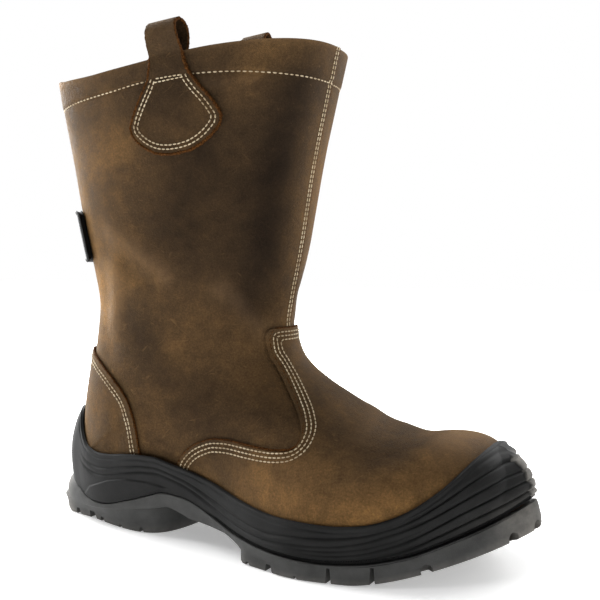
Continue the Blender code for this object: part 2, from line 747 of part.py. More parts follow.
for old in list(bpy.data.objects):
    bpy.data.objects.remove(old, do_unlink=True)
upper_skin = Skin()
pieces = [
    build_outsole(),
    build_midsole(upper_skin),
    build_insole(),
    build_upper(upper_skin),
    build_vamp(upper_skin),
    build_counter(upper_skin),
    build_badge(upper_skin),
]
for loop_name, *loop in zip(("pull_loop_lateral", "pull_loop_medial"), *LOOPS.values()):
    pieces.append(build_loop(loop_name, upper_skin, *loop))
stand_on_origin(pieces)
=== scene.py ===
"""Pull-on safety boot for the right foot: oiled brown leather on a black moulded sole.

Sizes are millimetres from the back of the heel: x to the toe, y to the inner side, z up from the floor.
"""

import bmesh
import bpy
import numpy as np
from mathutils import Matrix, Vector
from mathutils.bvhtree import BVHTree


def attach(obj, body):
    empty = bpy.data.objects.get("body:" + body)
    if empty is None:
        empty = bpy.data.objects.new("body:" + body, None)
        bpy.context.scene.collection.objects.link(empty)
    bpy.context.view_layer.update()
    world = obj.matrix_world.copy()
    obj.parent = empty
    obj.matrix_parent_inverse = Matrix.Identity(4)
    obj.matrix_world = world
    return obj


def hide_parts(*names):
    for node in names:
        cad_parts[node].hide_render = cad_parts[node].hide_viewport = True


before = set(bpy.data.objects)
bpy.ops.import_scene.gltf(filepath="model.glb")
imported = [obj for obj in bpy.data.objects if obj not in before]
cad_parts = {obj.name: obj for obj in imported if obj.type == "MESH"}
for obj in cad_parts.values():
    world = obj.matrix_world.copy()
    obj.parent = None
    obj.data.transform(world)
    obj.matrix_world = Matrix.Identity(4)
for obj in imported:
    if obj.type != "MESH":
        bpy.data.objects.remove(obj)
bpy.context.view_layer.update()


# Upper: two quarters of oiled brown leather, closed down the back and lapped down the front, where the outer
# one lies over the inner one. It is lasted over the foot, lined with its own flesh side, and turned in at the
# collar as a hem. Wear has left soft folds at the ankle, the throat and across the toes.
ORIGIN = np.array((150.28, 0.69, 0.0))     # the frame's origin, from the back of the heel
SOLE_LENGTH, TOE_TIP_Y = 305.0, 8.5
FEATHER_INSET = 8.5        # from the sole's edge in to the foot of the upper
GAP = 0.3                  # room between two pieces
WALL = 2.2
LAP_EDGE, LAP_FOOT, LAP_FADE, LAP_STEP = 0.010, 0.0135, 0.30, 1.2
BACK_CORNER = 0.08         # how much squarer the shaft is at its outer back corner by the collar
SHAFT_FROM, COLLAR_FROM = 21, 27           # stations where the corner and the uneven rim begin
COLLAR_STATION = 28


def table(names, rows):
    """Columns of a short table by name."""
    return {name: np.array(values, float) for name, values in zip(names.split(), zip(*rows))}


SOLE_PLAN = table("x lateral medial", (
    (9, 21, 21), (40, 37, 36.5), (75, 38.5, 36), (112, 38.5, 30), (150, 54, 37), (188, 65, 48), (228, 60, 53),
    (262, 43.5, 49), (288, 22.5, 34),
))
SOLE_SIDE = table("x parting footbed top inset", (
    (0, 27, 31, 67.5, -1.6), (14, 22, 31, 66, -0.5), (18, 20, 30.9, 61.5, 0.4), (22, 18.5, 30.8, 54, 1),
    (30, 15.7, 30.5, 46.2, 1.2), (42, 14.2, 30.2, 42.4, 1), (66, 19.4, 29.8, 45.4, 1),
    (80, 23.6, 29.7, 46.6, 1), (90, 26.4, 29.6, 46, 1), (104, 25.2, 28.6, 43, 1), (128, 19, 24.4, 37.5, 1),
    (152, 13.8, 19.4, 32, 1), (180, 10.7, 16.2, 28.3, 1), (206, 9.8, 15.6, 27.3, 1),
    (228, 11.1, 16.8, 29, 1), (242, 13.5, 18.6, 33.2, 1), (254, 16.6, 21, 40, 1.2), (265, 21, 24.6, 49, 1.5),
    (272, 24, 27.2, 57, 1.6), (279, 27, 30, 65, 2.2), (290, 32.3, 34.8, 80, 2.6), (305, 40.5, 42.5, 88, 3.6),
))
FOOT = table("edge ridge_x ridge_z mid_y lateral medial fullness", (
    (0.000, 295, 37.5, 8.3, 0, 0, 2.2), (0.045, 291.3, 45.5, 8.3, 14, 14, 2.3),
    (0.09, 286.8, 53.8, 8.2, 26, 25, 2.4), (0.14, 280.5, 60.6, 8, 37, 33.5, 2.5),
    (0.19, 271.5, 66, 7.5, 46, 38, 2.5), (0.25, 255, 68, 6.8, 55, 41, 2.4),
    (0.32, 232, 69.4, 5.8, 62.5, 41.5, 2.3), (0.39, 209.5, 76.4, 5, 63.5, 39.5, 2.15),
    (0.46, 191, 86.2, 4.5, 59.5, 38, 2.05), (0.53, 177, 94.4, 3.5, 52.5, 37, 2.0),
    (0.60, 168.5, 100.2, 2.6, 46.5, 37, 2.0), (0.67, 163.5, 105, 2, 43.5, 38, 2.0),
    (0.75, 160.1, 110, 1.2, 42, 39, 2.05), (0.83, 158.2, 115, 0.6, 41, 39.5, 2.1),
    (0.90, 157.1, 120, 0.2, 40.5, 40, 2.1), (0.96, 156.8, 125, 0, 40.5, 40.2, 2.1),
    (1.00, 156.8, 130, 0, 40.8, 40.5, 2.1),
))
LEG = table("ridge_z back_z lateral medial fullness", (
    (136, 45, 41, 41.5, 2.1), (142, 65, 41.5, 42.5, 2.1), (148, 90, 42.5, 43.5, 2.1),
    (156, 115, 44, 45, 2.15), (166, 137, 46, 47, 2.2), (178, 155, 48, 49, 2.25), (193, 175, 50, 51, 2.3),
    (211, 196, 52.5, 53.2, 2.35), (231, 217, 54.5, 55, 2.35), (251, 238, 56.3, 56.5, 2.4),
    (270, 255, 57.8, 57.8, 2.45), (287.8, 269.6, 58.8, 59.2, 2.5),
))
FRONT = table("z x", (
    (130, 156.8), (136, 157.6), (145, 159.2), (160, 162.1), (180, 165.8), (200, 168.9), (220, 172.2),
    (240, 176.5), (260, 180.8), (280, 185.2), (292, 187.8),
))
BACK = table("z x", (
    (31, 9.6), (50, 10.2), (65, 11.6), (75, 13.2), (85, 15.1), (95, 17.3), (110, 20.6), (125, 24.2),
    (138, 25.4), (150, 24.2), (160, 22.3), (180, 18.4), (200, 15), (220, 11.6), (240, 8.2), (260, 4.6),
    (273, 2.2),
))
RIM = table("x z", ((2, 3.2), (14, 4), (30, 0.8), (60, -1.7), (90, -1.4), (115, -0.4), (140, 0), (188, 0)))
HEM = table("x z", (
    (2, 257), (22, 258), (66, 262), (94, 266), (125, 268.3), (146, 268.7), (164, 268.3), (187, 267.5),
))

# Soft folds of the leather: half width, height (negative for a hollow), and the line that each follows
FOLDS = (
    (8.0, 1.3, ((62, -44, 168), (60, -41, 150), (58, -40, 128))),
    (9.0, -1.2, ((50, -37, 150), (46, -33, 128), (50, -35, 112))),
    (6.0, 1.2, ((61, -46, 182), (76, -48, 174), (90, -47, 165), (100, -47, 157))),
    (7.0, -0.9, ((58, -45, 170), (74, -47, 162), (88, -46, 153))),
    (8.0, -1.3, ((148, -29, 162), (149, -26, 152), (150, -20, 143))),
    (6.0, 1.1, ((132, -36, 150), (140, -30, 143), (145, -22, 132), (148, -18, 125))),
    (6.0, -0.9, ((60, -39, 76), (64, -39, 62), (55, -37, 52))),
    (6.0, 0.8, ((203, 14, 77), (210, 2, 75), (214, -14, 72), (216, -30, 66))),
    (5.0, -1.0, ((215, 18, 72), (221, 0, 71.5), (224, -21, 68), (224, -38, 58))),
    (9.0, -1.6, ((238, 34, 66), (238, 8, 69), (237, -14, 67), (236, -32, 60))),
    (13.0, 1.7, ((262, 28, 62), (263, 8, 66.5), (261, -14, 64))),
    (3.0, 0.5, ((128, -55, 262), (140, -51, 263), (158, -44, 265))),
    (14.0, -1.0, ((148, -44, 245), (140, -46, 215), (130, -47, 195))),
    (7.0, 1.0, ((58, 45, 175), (78, 48, 166), (98, 47, 152))),
    (9.0, -1.4, ((150, 26, 158), (151, 18, 145))),
    (9.0, -1.4, ((45, 36, 140), (44, 32, 118))),
    (14.0, -0.8, ((140, 47, 240), (128, 49, 205))),
)


def place(points):
    """Places in the frame, in metres."""
    return (np.asarray(points, float) - ORIGIN) * 0.001


def smooth(keys, values):
    """Curve through a table's points that doesn't overshoot them."""
    step = np.diff(keys)
    rise = np.diff(values) / step
    slope = np.zeros(len(keys))
    slope[0], slope[-1] = rise[0], rise[-1]
    for k in range(1, len(keys) - 1):
        if rise[k - 1] * rise[k] > 0:
            before, after = 2 * step[k] + step[k - 1], step[k] + 2 * step[k - 1]
            slope[k] = (before + after) / (before / rise[k - 1] + after / rise[k])

    def at(x):
        x = np.clip(x, keys[0], keys[-1])
        k = np.clip(np.searchsorted(keys, x) - 1, 0, len(step) - 1)
        s = (x - keys[k]) / step[k]
        start = (1 + 2 * s) * (1 - s) ** 2 * values[k] + s * (1 - s) ** 2 * step[k] * slope[k]
        end = s * s * (3 - 2 * s) * values[k + 1] - s * s * (1 - s) * step[k] * slope[k + 1]
        return start + end
    return at


def unit(vectors):
    """Vectors with their length made one."""
    return vectors / np.maximum(np.linalg.norm(vectors, axis=-1, keepdims=True), 1e-9)


def run_of(path):
    """How far along a path each of its points is."""
    return np.append(0, np.cumsum(np.linalg.norm(np.diff(path, axis=0), axis=1)))


def along(path, run, at):
    """Places at some distances along a path."""
    return np.stack([np.interp(at, run, values) for values in path.T], -1)


def closed_curve(points, count, bend_weight=18.0):
    """Samples of the smooth closed curve through some points, closer together where it bends."""
    points = np.array(points, float)
    ahead = np.roll(points, -1, 0)
    step = np.linalg.norm(ahead - points, axis=1)
    before, here = np.roll(step, 1), np.eye(len(points))
    matrix = (np.diag(2 * (before + step)) + step[:, None] * np.roll(here, 1, 1)
              + before[:, None] * np.roll(here, -1, 1))
    rise = (ahead - points) / step[:, None]
    bend = np.linalg.solve(matrix, 6 * (rise - np.roll(rise, 1, 0)))
    s = np.linspace(0, 1, 40, endpoint=False)[:, None]
    r = 1 - s
    fine = []
    for k in range(len(points)):
        cubic = (r ** 3 - r) * bend[k] + (s ** 3 - s) * np.roll(bend, -1, 0)[k]
        fine.append(r * points[k] + s * ahead[k] + step[k] ** 2 / 6 * cubic)
    fine = np.vstack(fine + [points[:1]])
    sides = np.diff(fine, axis=0)
    headings = np.arctan2(sides[:, 1], sides[:, 0])
    turns = np.abs((headings - np.roll(headings, 1) + np.pi) % (2 * np.pi) - np.pi)
    run = np.append(0, np.cumsum(np.linalg.norm(sides, axis=1) + bend_weight * turns))
    return along(fine, run, np.linspace(0, run[-1], count, endpoint=False))


def outward(plan):
    """Unit vectors that point out of a closed plan curve."""
    heading = unit(np.roll(plan, -1, 0) - np.roll(plan, 1, 0))
    return np.stack([heading[:, 1], -heading[:, 0]], 1)


def sole_outline(count, grow=0.0):
    """Plan of the sole from the back of the heel along the outer side, round the toe and back."""
    outer = list(zip(SOLE_PLAN["x"], -SOLE_PLAN["lateral"]))
    inner = list(zip(SOLE_PLAN["x"], SOLE_PLAN["medial"]))
    plan = closed_curve([(0, 0)] + outer + [(SOLE_LENGTH, TOE_TIP_Y)] + inner[::-1], count)
    return plan + grow * outward(plan)


parting_z = smooth(SOLE_SIDE["x"], SOLE_SIDE["parting"])
footbed_z = smooth(SOLE_SIDE["x"], SOLE_SIDE["footbed"])
cup_top_z = smooth(SOLE_SIDE["x"], SOLE_SIDE["top"])
cup_inset = smooth(SOLE_SIDE["x"], SOLE_SIDE["inset"])
front_x = smooth(FRONT["z"], FRONT["x"])
back_x = smooth(BACK["z"], BACK["x"])
hem_z = smooth(HEM["x"], HEM["z"])


def upper_sections():
    """Sections of the foot and leg: ridge point, end points, half widths and fullness."""
    plan = sole_outline(1200, -FEATHER_INSET)
    tip = int(plan[:, 0].argmax())
    sides = plan[:tip + 1][::-1], np.vstack([plan[tip:], plan[:1]])
    rows, shape = [], ("lateral", "medial", "fullness")
    for k, share in enumerate(FOOT["edge"]):
        ends = []
        for path in sides:
            run = run_of(path)
            x, y = along(path, run, share * run[-1])
            ends += [x, y, footbed_z(x)]
        ridge = [FOOT["ridge_x"][k], FOOT["mid_y"][k], FOOT["ridge_z"][k]] if share > 0 else ends[:3]
        rows.append(ridge + ends + [FOOT[name][k] for name in shape])
    for k, top in enumerate(LEG["ridge_z"]):
        low = LEG["back_z"][k]
        end = [back_x(low), 0, low]
        rows.append([front_x(top), 0, top] + end + end + [LEG[name][k] for name in shape])
    return np.array(rows)


ROUND_SIDE, BACK_SEAM = np.linspace(0.03, 0.975, 58), (0.988, 0.995, 1)
LATERAL = np.concatenate([(0, 0.006, 0.012, 0.018), ROUND_SIDE, BACK_SEAM])
MEDIAL = np.concatenate([(0, 0.006, LAP_EDGE, LAP_FOOT, 0.018), ROUND_SIDE, BACK_SEAM])
SHARES = np.append(-LATERAL[::-1], MEDIAL[1:])
STATIONS = np.concatenate([
    np.arange(0, COLLAR_FROM - 1, 1 / 6), np.linspace(COLLAR_FROM - 1, COLLAR_FROM, 12, endpoint=False),
    np.linspace(COLLAR_FROM, COLLAR_STATION, 25)])


def upper_grid():
    """Outer skin of the upper: a row of points for each station, from the outer rim over the ridge."""
    sections = upper_sections()
    rows = np.arange(len(sections))
    blend = np.stack([smooth(rows, sections[:, c])(STATIONS) for c in range(sections.shape[1])], 1)
    lapped = np.clip(STATIONS - len(FOOT["edge"]) + 2, 0, 1)
    squarer = BACK_CORNER * np.clip((STATIONS - SHAFT_FROM) / (COLLAR_STATION - SHAFT_FROM), 0, 1)
    grid = []
    for row, lap, corner in zip(blend, lapped, squarer):
        ridge, full = row[:3], 2 / row[11]
        sides = []
        for sign, end, half, shares in ((-1, row[3:6], row[9], LATERAL), (1, row[6:9], row[10], MEDIAL)):
            reach = min(abs(end[1] - ridge[1]) / max(half, 1e-6), 1)
            sweep = np.pi - np.arcsin(reach ** (1 / full))
            angle = shares * sweep
            bend = full * (1 - corner * (sign < 0) * (angle > np.pi / 2))
            curl = np.sign(np.cos(angle)) * np.abs(np.cos(angle)) ** bend
            last = np.sign(np.cos(sweep)) * np.abs(np.cos(sweep)) ** full
            under = (sign > 0) * (shares >= LAP_FOOT) * np.clip(1 - shares / LAP_FADE, 0, 1)
            sunk = LAP_STEP * lap * under / max(np.linalg.norm(end - ridge), 1)
            down = (1 - curl) / (1 - last) + sunk
            x = ridge[0] + (end[0] - ridge[0]) * down
            z = ridge[2] + (end[2] - ridge[2]) * down
            y = ridge[1] + sign * half * np.abs(np.sin(angle)) ** bend
            y[-1] = end[1]
            sides.append(np.stack([x, y, z], 1))
        grid.append(np.vstack([sides[0][::-1], sides[1][1:]]))
    grid = np.array(grid)
    grid[..., 2] += smooth(RIM["x"], RIM["z"])(grid[..., 0]) * np.clip(STATIONS - COLLAR_FROM, 0, 1)[:, None]
    return grid


def grid_normals(grid):
    """Outward unit normals of a grid of points."""
    across = np.gradient(grid, axis=1)
    up = np.gradient(grid, axis=0)
    normals = np.cross(across, up)
    length = np.linalg.norm(normals, axis=2, keepdims=True)
    normals = np.where(length > 1e-9, normals / np.maximum(length, 1e-9), (1.0, 0.0, 0.0))
    leg = STATIONS > len(FOOT["edge"]) - 0.5
    normals[leg, 0] = normals[leg, -1] = unit(normals[leg, 0] + normals[leg, -1])
    return normals


def distance_to(points, path):
    """Distance of points from a line through several places."""
    best = np.full(len(points), 1e9)
    path = np.array(path, float)
    for start, end in zip(path[:-1], path[1:]):
        run = end - start
        share = np.clip((points - start) @ run / (run @ run), 0, 1)
        best = np.minimum(best, np.linalg.norm(points - start - share[:, None] * run, axis=1))
    return best


def fold_height(points):
    """Height of the soft folds at some points."""
    total = np.zeros(len(points))
    for width, height, path in FOLDS:
        total += height * np.exp(-(distance_to(points, path) / width) ** 2)
    return total


def hem_height(points):
    """The turned-in hem: a little fuller above its row of stitches, and drawn in along it."""
    above = points[:, 2] - hem_z(points[:, 0])
    on_leg = points[:, 2] > 240
    return on_leg * (0.5 / (1 + np.exp(-above / 0.8)) - 0.55 * np.exp(-(above / 1.1) ** 2))


plain_skin = upper_grid()
skin_normals = grid_normals(plain_skin)
flat_points = plain_skin.reshape(-1, 3)
relief = fold_height(flat_points) + hem_height(flat_points)
skin = plain_skin + skin_normals * relief.reshape(plain_skin.shape[:2])[..., None]


def grid_faces(rows, columns):
    """Quads of a grid of points stored row by row."""
    first = (np.arange(rows - 1)[:, None] * columns + np.arange(columns - 1)).ravel()
    return np.stack([first, first + 1, first + columns + 1, first + columns], 1).tolist()


skin_tree = BVHTree.FromPolygons(skin.reshape(-1, 3).tolist(), grid_faces(*skin.shape[:2]))


def sheet(name, points):
    """Grid drawn over rows of points."""
    rows, columns = points.shape[:2]
    bpy.ops.object.select_all(action="DESELECT")
    bpy.ops.mesh.primitive_grid_add(x_subdivisions=columns - 1, y_subdivisions=rows - 1, size=1)
    item = bpy.context.object
    item.name = item.data.name = name
    item.data.vertices.foreach_set("co", place(points.reshape(-1, 3)).astype(np.float32).ravel())
    item.data.update()
    return item


def pick(item):
    """Selects one object alone and makes it active."""
    bpy.ops.object.select_all(action="DESELECT")
    item.select_set(True)
    bpy.context.view_layer.objects.active = item


def weld(item, closed=False, reach=0.00003):
    """Joins points that coincide; a closed shell has its faces turned out."""
    pick(item)
    bpy.ops.object.mode_set(mode="EDIT")
    bpy.ops.mesh.select_all(action="SELECT")
    bpy.ops.mesh.remove_doubles(threshold=reach)
    if closed:
        bpy.ops.mesh.normals_make_consistent(inside=False)
    bpy.ops.object.mode_set(mode="OBJECT")


def work(item, kind, **settings):
    """Adds a modifier and applies it."""
    step = item.modifiers.new(kind.lower(), kind)
    for key, value in settings.items():
        setattr(step, key, value)
    bpy.context.view_layer.objects.active = item
    bpy.ops.object.modifier_apply(modifier=step.name)


def round_shading(item, angle=0.6):
    """Smooth shading that keeps the corners."""
    pick(item)
    bpy.ops.object.shade_smooth_by_angle(angle=angle)


def paint(item, name, values):
    """Stores a number at each point of a piece, from its places in millimetres."""
    places = np.empty(len(item.data.vertices) * 3, np.float32)
    item.data.vertices.foreach_get("co", places)
    layer = item.data.attributes.new(name, "FLOAT", "POINT")
    layer.data.foreach_set("value", values(places.reshape(-1, 3) * 1000.0 + ORIGIN).astype(np.float32))


def fill(tree, item, inputs):
    """Sets a node's inputs, as values or as sockets to join."""
    for key, value in inputs.items():
        if isinstance(value, bpy.types.NodeSocket):
            tree.links.new(value, item.inputs[key])
        else:
            item.inputs[key].default_value = value


def add(tree, kind, inputs, **settings):
    """One shader node with its settings and inputs."""
    item = tree.nodes.new("ShaderNode" + kind)
    for key, value in settings.items():
        setattr(item, key, value)
    fill(tree, item, inputs)
    return item


def noise(tree, where, scale, detail, roughness=0.5, distortion=0.0):
    """Cloudy noise from 0 to 1."""
    return add(tree, "TexNoise", {"Vector": where, "Scale": scale, "Detail": detail, "Roughness": roughness,
                                  "Distortion": distortion}).outputs["Fac"]


def rescale(tree, value, low, high, start, end):
    """Value between two limits, moved to two others."""
    return add(tree, "MapRange", {"Value": value, "From Min": low, "From Max": high, "To Min": start,
                                  "To Max": end}).outputs[0]


def bump(tree, height, strength, distance):
    """Normals roughened by a height."""
    return add(tree, "Bump", {"Strength": strength, "Distance": distance, "Height": height}).outputs[0]


def effect(name, inputs):
    """Empty node group that gives a colour, a roughness and a height, with its inputs and its end."""
    tree = bpy.data.node_groups.new(name, "ShaderNodeTree")
    for label, value in inputs.items():
        kind = "NodeSocketFloat" if isinstance(value, float) else "NodeSocketColor"
        tree.interface.new_socket(label, in_out="INPUT", socket_type=kind).default_value = value
    for label, kind in (("Color", "Color"), ("Roughness", "Float"), ("Height", "Float")):
        tree.interface.new_socket(label, in_out="OUTPUT", socket_type="NodeSocket" + kind)
    return tree, tree.nodes.new("NodeGroupInput").outputs, tree.nodes.new("NodeGroupOutput")


def new_material(name):
    """Material, its node tree and its shader."""
    material = bpy.data.materials.new(name)
    material.use_nodes = True
    return material, material.node_tree, material.node_tree.nodes["Principled BSDF"]


def ramp(tree, factor, stops):
    """Colour ramp through some stops."""
    item = add(tree, "ValToRGB", {"Fac": factor})
    bar = item.color_ramp.elements
    while len(bar) < len(stops):
        bar.new(0.5)
    for element, (position, colour) in zip(bar, stops):
        element.position = position
        element.color = (*colour, 1)
    return item.outputs["Color"]


def mix(tree, factor, first, second, blend="MIX"):
    """Blend of two colours."""
    return add(tree, "Mix", {0: factor, 6: first, 7: second}, data_type="RGBA", blend_type=blend).outputs[2]


def maths(tree, operation, first, second, clamp=False):
    """Result of an operation on two numbers or sockets."""
    return add(tree, "Math", {0: first, 1: second}, operation=operation, use_clamp=clamp).outputs[0]


SCRATCHES = ((0.0, 0.9, 0.2), (0.3, -0.8, 0.0), (0.2, 1.45, 0.3))       # how each set of scratches is turned
SCRATCH_SIZE = (0.0018, 0.0018, 0.022)
SCRATCHED, PULLED = (0.185, 0.103, 0.042, 1), (0.235, 0.140, 0.068, 1)
TONE_POWERS = (1.0, 0.92, 0.68)            # a pale tone is also less red than a dark one


def oiled_leather_effect():
    """Oiled hide: dark and warm patches, mottling, scratches, pale where it is pulled, and a close grain."""
    tree, given, end = effect("oiled_leather", {"Tone": 1.0, "Pull": 0.0})
    where = add(tree, "TexCoord", {}).outputs["Object"]
    broad, mottle = noise(tree, where, 17.0, 4.0, 0.55, 0.6), noise(tree, where, 130.0, 5.0, 0.65)
    speck = noise(tree, where, 900.0, 3.0, 0.7)
    colour = ramp(tree, broad, ((0.32, (0.058, 0.0350, 0.0180)), (0.46, (0.080, 0.0475, 0.0225)),
                                (0.57, (0.104, 0.0598, 0.0262)), (0.70, (0.148, 0.0830, 0.0330))))
    clouds = ramp(tree, mottle, ((0.32, (0.79, 0.79, 0.81)), (0.50, (1, 1, 1)), (0.68, (1.24, 1.21, 1.15))))
    specks = ramp(tree, speck, ((0.30, (0.74, 0.74, 0.75)), (0.52, (1, 1, 1)), (0.72, (1.36, 1.30, 1.20))))
    for shade in (clouds, specks):
        colour = mix(tree, 1.0, colour, shade, "MULTIPLY")
    for turn in SCRATCHES:
        lines = add(tree, "Mapping", {"Vector": where, "Rotation": turn, "Scale": SCRATCH_SIZE},
                    vector_type="TEXTURE").outputs[0]
        scratch = noise(tree, lines, 1.0, 1.0, distortion=0.5)
        colour = mix(tree, rescale(tree, scratch, 0.72, 0.80, 0.0, 0.5), colour, SCRATCHED)
    worn = maths(tree, "MULTIPLY", given["Pull"], maths(tree, "ADD", mottle, 0.35), True)
    colour = mix(tree, worn, colour, PULLED)
    # the Tone input also brings in the painted highlights along the outer back edge and at the ankle
    tones = [maths(tree, "POWER", given["Tone"], power) for power in TONE_POWERS]
    tone = add(tree, "CombineColor", dict(enumerate(tones))).outputs[0]
    cells = add(tree, "TexVoronoi", {"Vector": where, "Scale": 950.0}, feature="DISTANCE_TO_EDGE")
    pores = rescale(tree, cells.outputs["Distance"], 0.0, 0.22, 0.0, 1.0)
    grain = maths(tree, "ADD", speck, maths(tree, "MULTIPLY", mottle, 1.2))
    fill(tree, end, {
        "Color": mix(tree, 1.0, colour, tone, "MULTIPLY"),
        "Roughness": rescale(tree, mottle, 0.3, 0.7, 0.62, 0.82),
        "Height": maths(tree, "ADD", maths(tree, "MULTIPLY", pores, 0.45), grain)})
    return tree


oiled_leather = oiled_leather_effect()


def leather(name, tone):
    """Oiled leather of one piece."""
    material, tree, shader = new_material(name)
    masks = [add(tree, "Attribute", {}, attribute_name=mask) for mask in ("tone", "pull")]
    shade, pull = [mask.outputs["Fac"] for mask in masks]
    hide = add(tree, "Group", {"Tone": maths(tree, "MULTIPLY", shade, tone), "Pull": pull},
               node_tree=oiled_leather)
    fill(tree, shader, {
        "Base Color": hide.outputs["Color"], "Roughness": hide.outputs["Roughness"],
        "Normal": bump(tree, hide.outputs["Height"], 0.45, 0.0005),
        "Sheen Weight": 0.06, "Sheen Roughness": 0.35, "Sheen Tint": (1.0, 0.72, 0.42, 1),
        "Specular IOR Level": 0.065, "Specular Tint": (1.0, 0.74, 0.44, 1)})
    return material


def suede(name, colour, grain, dark=0.6, sheen=0.1):
    """Cut or flesh side of leather: fibres and no gloss."""
    material, tree, shader = new_material(name)
    fibre = noise(tree, add(tree, "TexCoord", {}).outputs["Object"], grain, 4.0, 0.7)
    shades = ramp(tree, fibre, ((0.34, [c * dark for c in colour]), (0.66, [c * 1.45 for c in colour])))
    fill(tree, shader, {
        "Base Color": shades, "Roughness": 0.92, "Normal": bump(tree, fibre, 0.5, 0.0004),
        "Specular IOR Level": 0.04, "Sheen Weight": sheen})
    return material


# Darker and paler bands in the leather's tone: half width, change of tone, and the line that each follows
TONES_AND_PAINTED_HIGHLIGHTS = (
    (36.0, -0.67, ((118, -56, 250), (128, -54, 215), (112, -50, 188))),
    (19.0, -0.66, ((172, -26, 262), (163, -27, 215), (156, -27, 165), (150, -30, 140))),
    (20.0, -0.05, ((96, -48, 150), (112, -46, 138), (124, -44, 122))),
    (18.0, -0.34, ((70, -42, 128), (82, -44, 112), (96, -44, 98))),
    (22.0, -0.22, ((118, -44, 95), (140, -44, 82), (158, -46, 76))),
    (24.0, 0.40, ((178, -62, 42), (215, -62, 40), (248, -50, 44))),
    (20.0, -0.20, ((196, -10, 84), (214, -20, 72), (232, -26, 64))),
    (30.0, -0.30, ((120, 56, 240), (105, 52, 190))),
    (26.0, 0.25, ((170, 22, 255), (160, 22, 180))),
    (24.0, 0.25, ((190, 46, 46), (230, 46, 42))),
    # painted highlight: pale along the outer back edge of the shaft and at the ankle hollow below it, where
    # the light from behind falls
    (15.0, 0.32, ((16, -34, 262), (26, -36, 215), (38, -35, 168), (42, -31, 138))),
    (12.0, 0.22, ((44, -33, 152), (46, -33, 136), (42, -30, 122))),
)


def tone_and_painted_highlights_of(points):
    """Tone of the leather at some points, painted highlights included."""
    total = np.ones(len(points))
    for width, change, path in TONES_AND_PAINTED_HIGHLIGHTS:
        total += change * np.exp(-(distance_to(points, path) / width) ** 2)
    return total


COLLAR_LOW = np.array((back_x(LEG["back_z"][-1]), LEG["back_z"][-1]))
COLLAR_HIGH = np.array((front_x(LEG["ridge_z"][-1]), LEG["ridge_z"][-1]))


def collar_z(x):
    """Height of the collar's edge."""
    share = (x - COLLAR_LOW[0]) / (COLLAR_HIGH[0] - COLLAR_LOW[0])
    return COLLAR_LOW[1] + share * (COLLAR_HIGH[1] - COLLAR_LOW[1])


def paint_hide(item):
    """Stores the tone, painted highlights included, and where the leather is stretched pale: on the crests of
    folds and along the collar.
    """
    def pull_of(points):
        crest = np.clip(fold_height(points) / 1.4, 0, 1) * 0.55
        edge = 0.5 * np.exp(-np.clip(collar_z(points[:, 0]) - points[:, 2], 0, None) / 1.5)
        return np.clip(crest + edge, 0, 1)
    paint(item, "pull", pull_of)
    paint(item, "tone", tone_and_painted_highlights_of)


# Cut edges: orange-brown fibres of their own colour, with dark fibres down to a tenth of it that are painted
# shade of the shadow along each edge
raw_edge = suede("raw_edge", (0.086, 0.034, 0.0092), 1100.0, 0.10, 0.0)
flesh = suede("flesh_side", (0.030, 0.017, 0.008), 900.0, 0.5, 0.0)
lining = suede("lining", (0.150, 0.092, 0.046), 700.0)
upper = sheet("upper_leather", skin)
weld(upper)
upper.data.materials.append(leather("upper_leather", 1.0))
upper.data.materials.append(lining)
work(upper, "SOLIDIFY", thickness=WALL * 0.001, offset=-1.0, use_even_offset=True, material_offset=1)
work(upper, "BEVEL", width=0.0008, segments=3, limit_method="ANGLE", angle_limit=1.0)
round_shading(upper, 0.9)
paint_hide(upper)
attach(upper, "root")
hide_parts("upper")


# Vamp: a second layer of the same leather over the forefoot. Its cut edge crosses the throat, falls along the
# side and runs back above the sole as a tail, and three rows of stitches hold it down.
OVERLAY = 1.6
TUCK = 7.0                 # how far a layer goes down behind the cup
VAMP_EDGE = table("x z", (
    (154.3, 126), (153.4, 125.7), (152.5, 124.6), (151.8, 122.6), (151.5, 119.5), (152.5, 113), (158, 104),
    (166.5, 94), (175, 85), (181.5, 77.5), (185.3, 70.5), (185, 65.5), (180, 62.6), (170, 61.8), (154, 62.6),
    (139, 63.8), (130, 63.4), (121, 60.8), (113, 56.5), (105, 48.5), (102, 43),
))
VAMP_LOW_X = np.linspace(102, 254, 40)
VAMP_TOE = ((268, 44), (280, 56), (290, 66), (290, 90), (200, 126))


def fair(edge, count):
    """Even samples of a smooth line through a table's points."""
    run = np.append(0, np.cumsum(np.hypot(np.diff(edge["x"]), np.diff(edge["z"]))))
    at = np.linspace(0, run[-1], count)
    return np.stack([smooth(run, edge["x"])(at), smooth(run, edge["z"])(at)], 1)


def overlay(item, material, outline):
    """Layer of leather on the skin, cut to an outline in side view, which leaves a raw edge."""
    item.data.materials.append(material)
    work(item, "SOLIDIFY", thickness=OVERLAY * 0.001, offset=1.0, use_even_offset=True)
    bpy.ops.object.select_all(action="DESELECT")
    bpy.ops.mesh.primitive_circle_add(vertices=len(outline), fill_type="NGON")
    die = bpy.context.object
    points = place(np.insert(outline, 1, -90.0, axis=1))
    die.data.vertices.foreach_set("co", points.astype(np.float32).ravel())
    die.data.update()
    bpy.ops.object.mode_set(mode="EDIT")
    bpy.ops.mesh.select_all(action="SELECT")
    bpy.ops.mesh.extrude_region_move(TRANSFORM_OT_translate={"value": (0, 0.18, 0)})
    bpy.ops.mesh.select_all(action="SELECT")
    bpy.ops.mesh.normals_make_consistent(inside=False)
    bpy.ops.object.mode_set(mode="OBJECT")
    die.data.materials.append(raw_edge)
    work(item, "BOOLEAN", object=die, operation="INTERSECT", solver="EXACT", material_mode="TRANSFER")
    bpy.data.objects.remove(die, do_unlink=True)
    round_shading(item)
    paint_hide(item)


